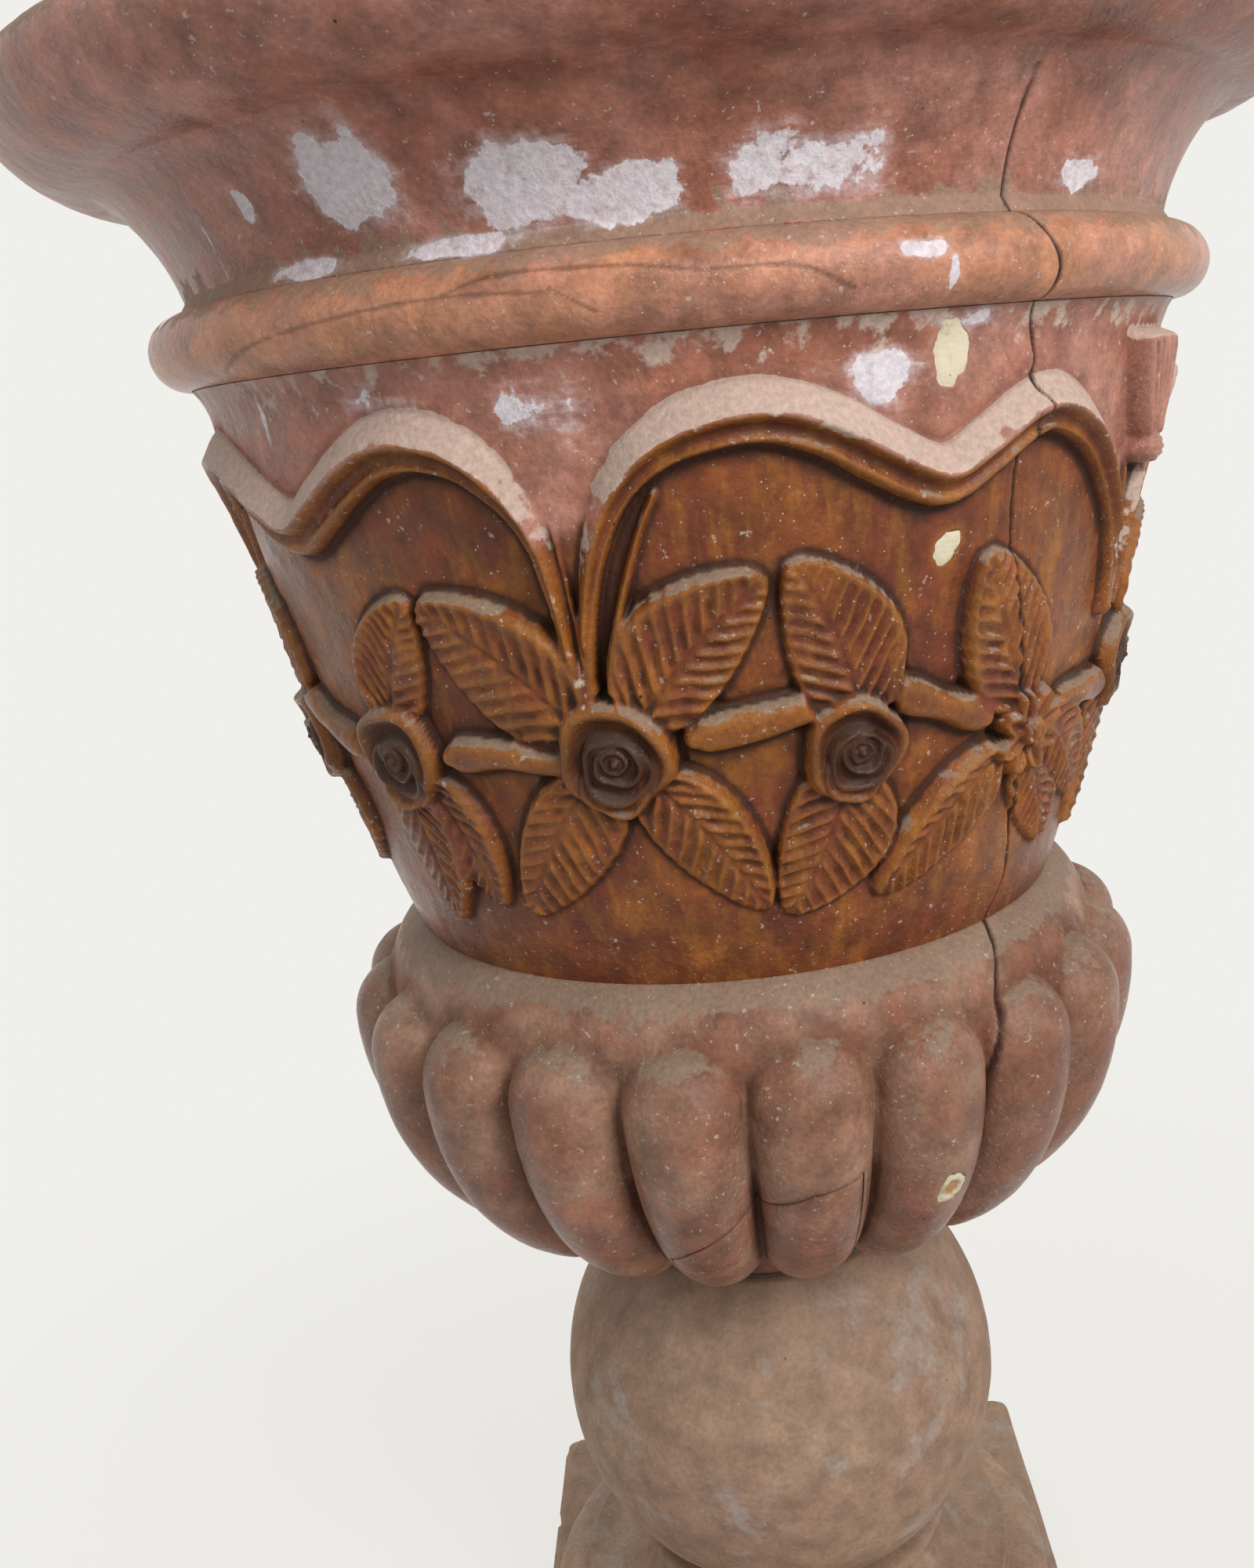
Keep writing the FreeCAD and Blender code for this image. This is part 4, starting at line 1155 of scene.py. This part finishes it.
def marble(name, tones, wax_tones, dust_tone, roughness, dust_from, dust, shade_and_darkening_strength):
    """Old red marble: clouded, waxed where marked, with streaks, dust, lime, flecks, pits and cracks; painted
    shade in recesses, darkening where marked, and lighter edges as wear and painted highlight.
    """
    tree = Tree(bpy.data.materials.new(name))
    cloud = tree.noise(95, 7)
    mottle = tree.noise(26, 8)
    grain = tree.noise(4, 6)
    streak = tree.noise(16, 5, (1, 1, 0.14))
    recess = tree.mark("recess")
    dry = tree.mix(tree.step(cloud, 0.35, 0.65), *tones)
    wax = tree.mix(tree.step(cloud, 0.32, 0.58), *wax_tones[:2])
    wax = tree.mix(tree.times(tree.step(streak, 0.45, 0.7), 0.6), wax, wax_tones[2])
    waxed = tree.step(tree.plus(tree.mark("wax"), tree.math("SUBTRACT", mottle, 0.5)), 0.3, 0.7)
    colour = tree.shade(tree.mix(waxed, dry, wax), mottle, 0.6, 1.36)
    # Lighter raised edges: partly rubbed stone, partly a painted highlight on the ridges
    worn = tree.mix(waxed, tones[0], wax_tones[2])
    colour = tree.mix(tree.times(tree.mark("edge"), 0.5), colour, worn)
    lie = tree.plus(tree.times(tree.upward(), 0.45), tree.times(tree.noise(24, 9), 0.9))
    lie = tree.plus(lie, tree.times(tree.mark("dust"), 0.22))
    dusted = tree.times(tree.step(lie, dust_from, dust_from + 0.07), dust)
    powder = tree.mix(tree.step(tree.mark("dust"), 0.1, 0.5), DUST, dust_tone)
    colour = tree.mix(dusted, colour, powder)
    brush = tree.noise(20, 3, (0.25, 0.25, 2.5))
    scratches = tree.times(tree.step(brush, 0.66, 0.72), tree.mark("lime"))
    chips = tree.times(tree.step(tree.noise(6, 4), 0.645, 0.70), 0.55)
    chips = tree.most(chips, tree.specks(5, 0.7, 0.4))
    colour = tree.mix(tree.most(scratches, chips), colour, FLECK)
    smear = tree.plus(tree.times(tree.mark("lime"), 0.5), tree.times(mottle, 0.8))
    veil = tree.times(tree.step(smear, 0.55, 0.8), tree.times(tree.step(brush, 0.35, 0.6), 0.6))
    limed = tree.times(tree.step(smear, 0.70, 0.74), tree.step(tree.noise(10, 6), 0.1, 0.5))
    limed = tree.most(veil, limed)
    colour = tree.mix(limed, colour, LIME_WHITE)
    colour = tree.shade(colour, grain, 0.82, 1.18)
    # Painted shade: recesses darken towards DEEP, more where waxed, joined by the marked darkening over roses
    # and in the hollow
    painted_shade_and_darkening = tree.times(tree.step(recess, 0.2, 0.9), tree.step(waxed, -0.5, 1.0))
    painted_shade_and_darkening = tree.most(painted_shade_and_darkening, tree.mark("darkening"))
    colour = tree.mix(tree.times(painted_shade_and_darkening, shade_and_darkening_strength), colour, DEEP)
    colour = tree.mix(tree.specks(26, 1.5, 0.3), colour, PIT)
    colour = tree.mix(tree.mark("crack"), colour, DEEP)
    matte = tree.most(tree.most(dusted, limed), recess)
    rough = tree.plus(tree.times(matte, 0.5), tree.times(mottle, 2 * roughness))
    height = tree.plus(tree.times(grain, 0.42), tree.times(mottle, 0.6))
    return tree.finish(colour, rough, height, 3.2)


def pale_stone():
    """Matte tan stone with rosy clouds and pale worn patches."""
    tree = Tree(bpy.data.materials.new("pale_stone"))
    patch = tree.noise(55, 7)
    grain = tree.noise(4, 6)
    colour = tree.mix(tree.step(tree.noise(160, 5), 0.35, 0.65), PALE_TAN, PALE_ROSE)
    colour = tree.shade(colour, tree.noise(24, 8), 0.75, 1.25)
    colour = tree.mix(tree.times(tree.step(patch, 0.54, 0.66), 0.6), colour, PALE_GREY)
    lie = tree.times(tree.step(tree.upward(), 0.3, 0.9), tree.step(patch, 0.3, 0.6))
    colour = tree.mix(tree.times(lie, 0.4), colour, DUST)
    colour = tree.shade(colour, grain, 0.85, 1.15)
    colour = tree.mix(tree.specks(9, 0.8, 0.25), colour, FLECK)
    colour = tree.mix(tree.specks(28, 1.5, 0.3), colour, LOBE_RED)
    rough = tree.plus(0.55, tree.times(patch, 0.35))
    return tree.finish(colour, rough, grain, 0.4)


def plaster():
    """Cream repair plaster, honey-coloured and sunk where it has worn through."""
    tree = Tree(bpy.data.materials.new("plaster"))
    grain = tree.noise(3, 6)
    blotch = tree.noise(11, 5)
    colour = tree.mix(tree.times(tree.step(blotch, 0.55, 0.7), 0.6), CREAM, HONEY)
    colour = tree.mix(tree.times(tree.mark("worn"), 0.85), colour, HONEY)
    colour = tree.mix(tree.specks(5, 0.8, 0.25), colour, HONEY)
    return tree.finish(colour, tree.step(grain, -1.6, 0.9), grain, 0.9)


def mottled(name, main, other, size, rough, metal):
    """Plain mottled finish for the parts that are hidden while the urn stands together.

    The patches' noise gives the roughness, by a soft step between the two values of `rough`.
    """
    tree = Tree(bpy.data.materials.new(name))
    patch = tree.noise(size, 6)
    grain = tree.noise(2, 5)
    tree.shader.inputs["Metallic"].default_value = metal
    colour = tree.mix(tree.step(patch, 0.4, 0.65), main, other)
    return tree.finish(colour, tree.step(patch, *rough), grain, 0.3)


def dress(node, material):
    """Gives a CAD node a material."""
    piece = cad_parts[node]
    for slot in piece.material_slots:
        slot.material = material


# Camera of the photograph: place in metres, pitch down and roll in degrees, lens, sensor's long side, shift
CAMERA_PLACE = (0.0, -1.228, 1.2446)
CAMERA_PITCH = 14.94
CAMERA_ROLL = 5.51
CAMERA_LENS = 33.86
CAMERA_SENSOR = 36.0
CAMERA_SHIFT = -0.0625

# Studio: floor in metres, shares of it, sky and lamp colours
FLOOR_RADIUS = 1.7
FLOOR_RINGS = 24
FLOOR_SPOKES = 96
FLOOR_FADE_FROM = 0.3
FLOOR_GLOW = 0.8
SKY_LIGHT = 0.43
WARM = (1.0, 0.98, 0.96)
COOL = (0.95, 0.97, 1.0)


def make_camera():
    """Camera of the photograph."""
    pitch, roll = math.radians(CAMERA_PITCH), math.radians(CAMERA_ROLL)
    ahead = Vector((0, math.cos(pitch), -math.sin(pitch)))
    level_down = Vector((0, -math.sin(pitch), -math.cos(pitch)))
    right = math.cos(roll) * Vector((1, 0, 0)) + math.sin(roll) * level_down
    up = math.sin(roll) * Vector((1, 0, 0)) - math.cos(roll) * level_down
    data = bpy.data.cameras.new("camera")
    data.lens = CAMERA_LENS
    data.sensor_width = CAMERA_SENSOR
    data.shift_x = CAMERA_SHIFT
    camera = bpy.data.objects.new("camera", data)
    turn = Matrix((right, up, -ahead)).transposed().to_4x4()
    camera.matrix_world = Matrix.Translation(CAMERA_PLACE) @ turn
    bpy.context.scene.collection.objects.link(camera)
    bpy.context.scene.camera = camera


def make_light(name, place, aim, size, power, colour):
    """Large soft lamp."""
    data = bpy.data.lights.new(name, "AREA")
    data.size = size
    data.energy = power
    data.color = colour
    lamp = bpy.data.objects.new(name, data)
    lamp.location = place
    lamp.rotation_euler = (Vector(aim) - Vector(place)).to_track_quat("-Z", "Y").to_euler()
    bpy.context.scene.collection.objects.link(lamp)


def seen(tree):
    """1 for rays that show the background itself: straight, mirrored or through something clear."""
    path = tree.add("ShaderNodeLightPath")
    bent = tree.most(path.outputs["Is Glossy Ray"], path.outputs["Is Transmission Ray"])
    return tree.most(path.outputs["Is Camera Ray"], bent)


def make_world():
    """Soft even sky that shows as the pale background."""
    world = bpy.data.worlds.new("studio")
    tree = Tree(world)
    sky = tree.nodes["Background"]
    strength = tree.add("ShaderNodeMapRange", {"Value": seen(tree), "To Min": SKY_LIGHT, "To Max": 1.0})
    tree.feed(sky.inputs["Color"], BACKGROUND)
    tree.feed(sky.inputs["Strength"], strength.outputs["Result"])
    bpy.context.scene.world = world


def make_floor():
    """Pale floor disc that fades into the background."""
    tree = Tree(bpy.data.materials.new("floor"))
    distance = tree.add("ShaderNodeVectorMath", {0: tree.place()}, operation="LENGTH").outputs["Value"]
    glow = tree.add("ShaderNodeEmission", {"Color": BACKGROUND})
    clear = tree.add("ShaderNodeBsdfTransparent")
    tree.shader.inputs["Base Color"].default_value = BACKGROUND
    tree.shader.inputs["Roughness"].default_value = 0.9
    share = tree.times(seen(tree), FLOOR_GLOW)
    surface = tree.add("ShaderNodeMixShader", {0: share, 1: tree.shader.outputs[0], 2: glow.outputs[0]})
    fade = tree.step(distance, FLOOR_FADE_FROM * FLOOR_RADIUS, FLOOR_RADIUS)
    faded = tree.add("ShaderNodeMixShader", {0: fade, 1: surface.outputs[0], 2: clear.outputs[0]})
    tree.feed(tree.nodes["Material Output"].inputs["Surface"], faded.outputs[0])
    angle = np.linspace(0, 2 * math.pi, FLOOR_SPOKES, endpoint=False)
    radius = FLOOR_RADIUS * np.linspace(0.01, 1, FLOOR_RINGS)[:, None]
    points = np.stack([radius * np.cos(angle), radius * np.sin(angle), 0 * radius * angle], axis=-1)
    index = numbered(points)
    mesh = bpy.data.meshes.new("floor")
    faces = cells(index, close_columns=True).tolist() + [index[0].tolist()]
    mesh.from_pydata(points.reshape(-1, 3), [], faces)
    mesh.materials.append(tree.owner)
    floor = bpy.data.objects.new("floor", mesh)
    bpy.context.scene.collection.objects.link(floor)


frieze_marble = marble("frieze_marble", (DRY_PINK, DRY_RED), (WAX_BROWN, WAX_RED, WAX_OCHRE), PALE_DUST,
                       roughness=0.22, dust_from=0.66, dust=0.85, shade_and_darkening_strength=0.85)
band_marble = marble("band_marble", (BAND_ORANGE, BAND_ROSE), (BAND_ORANGE, BAND_ROSE, WAX_OCHRE), DUST,
                     roughness=0.20, dust_from=0.70, dust=0.6, shade_and_darkening_strength=0.5)
neck_marble = marble("neck_marble", (DRY_PINK, DRY_RED), (BAND_ROSE, DRY_RED, WAX_OCHRE), DUST,
                     roughness=0.28, dust_from=0.60, dust=0.7, shade_and_darkening_strength=0.5)
lobe_marble = marble("lobe_marble", (LOBE_TAN, LOBE_RED), (DRY_RED, LOBE_RED, LOBE_TAN), DUST,
                     roughness=0.28, dust_from=0.76, dust=0.75, shade_and_darkening_strength=0.6)
pale = pale_stone()
repair = plaster()
make_frieze(frieze_marble, repair)
make_band(band_marble)
make_rim(neck_marble)
make_gadroon(lobe_marble, repair)
make_stem(pale)
make_foot(pale)
make_plinth(pale)
lead = mottled("lead", LEAD_GREY, LEAD_PALE, size=18, rough=(-0.6, 0.8), metal=0.4)
steel = mottled("steel", STEEL_GREY, RUST, size=14, rough=(0.0, 0.9), metal=0.9)
mortar = mottled("mortar", MORTAR_GREY, MORTAR_DARK, size=9, rough=(-2.0, 0.8), metal=0.0)
hidden = {"bowl_seat": lead, "stem_seat": lead, "bowl_tube": steel, "stem_tube": steel, "foot_bed": mortar}
for hidden_node, hidden_material in hidden.items():
    dress(hidden_node, hidden_material)

bpy.context.scene.view_settings.view_transform = "Standard"
make_camera()
make_world()
make_floor()
make_light("key", (1.3, -2.0, 2.3), (0, 0, 1.0), size=1.0, power=50, colour=WARM)
make_light("fill", (-2.2, -1.4, 2.4), (0, 0, 0.9), size=2.0, power=8, colour=COOL)
make_light("back", (-0.6, 2.6, 2.6), (0, 0, 0.9), size=2.0, power=40, colour=WARM)
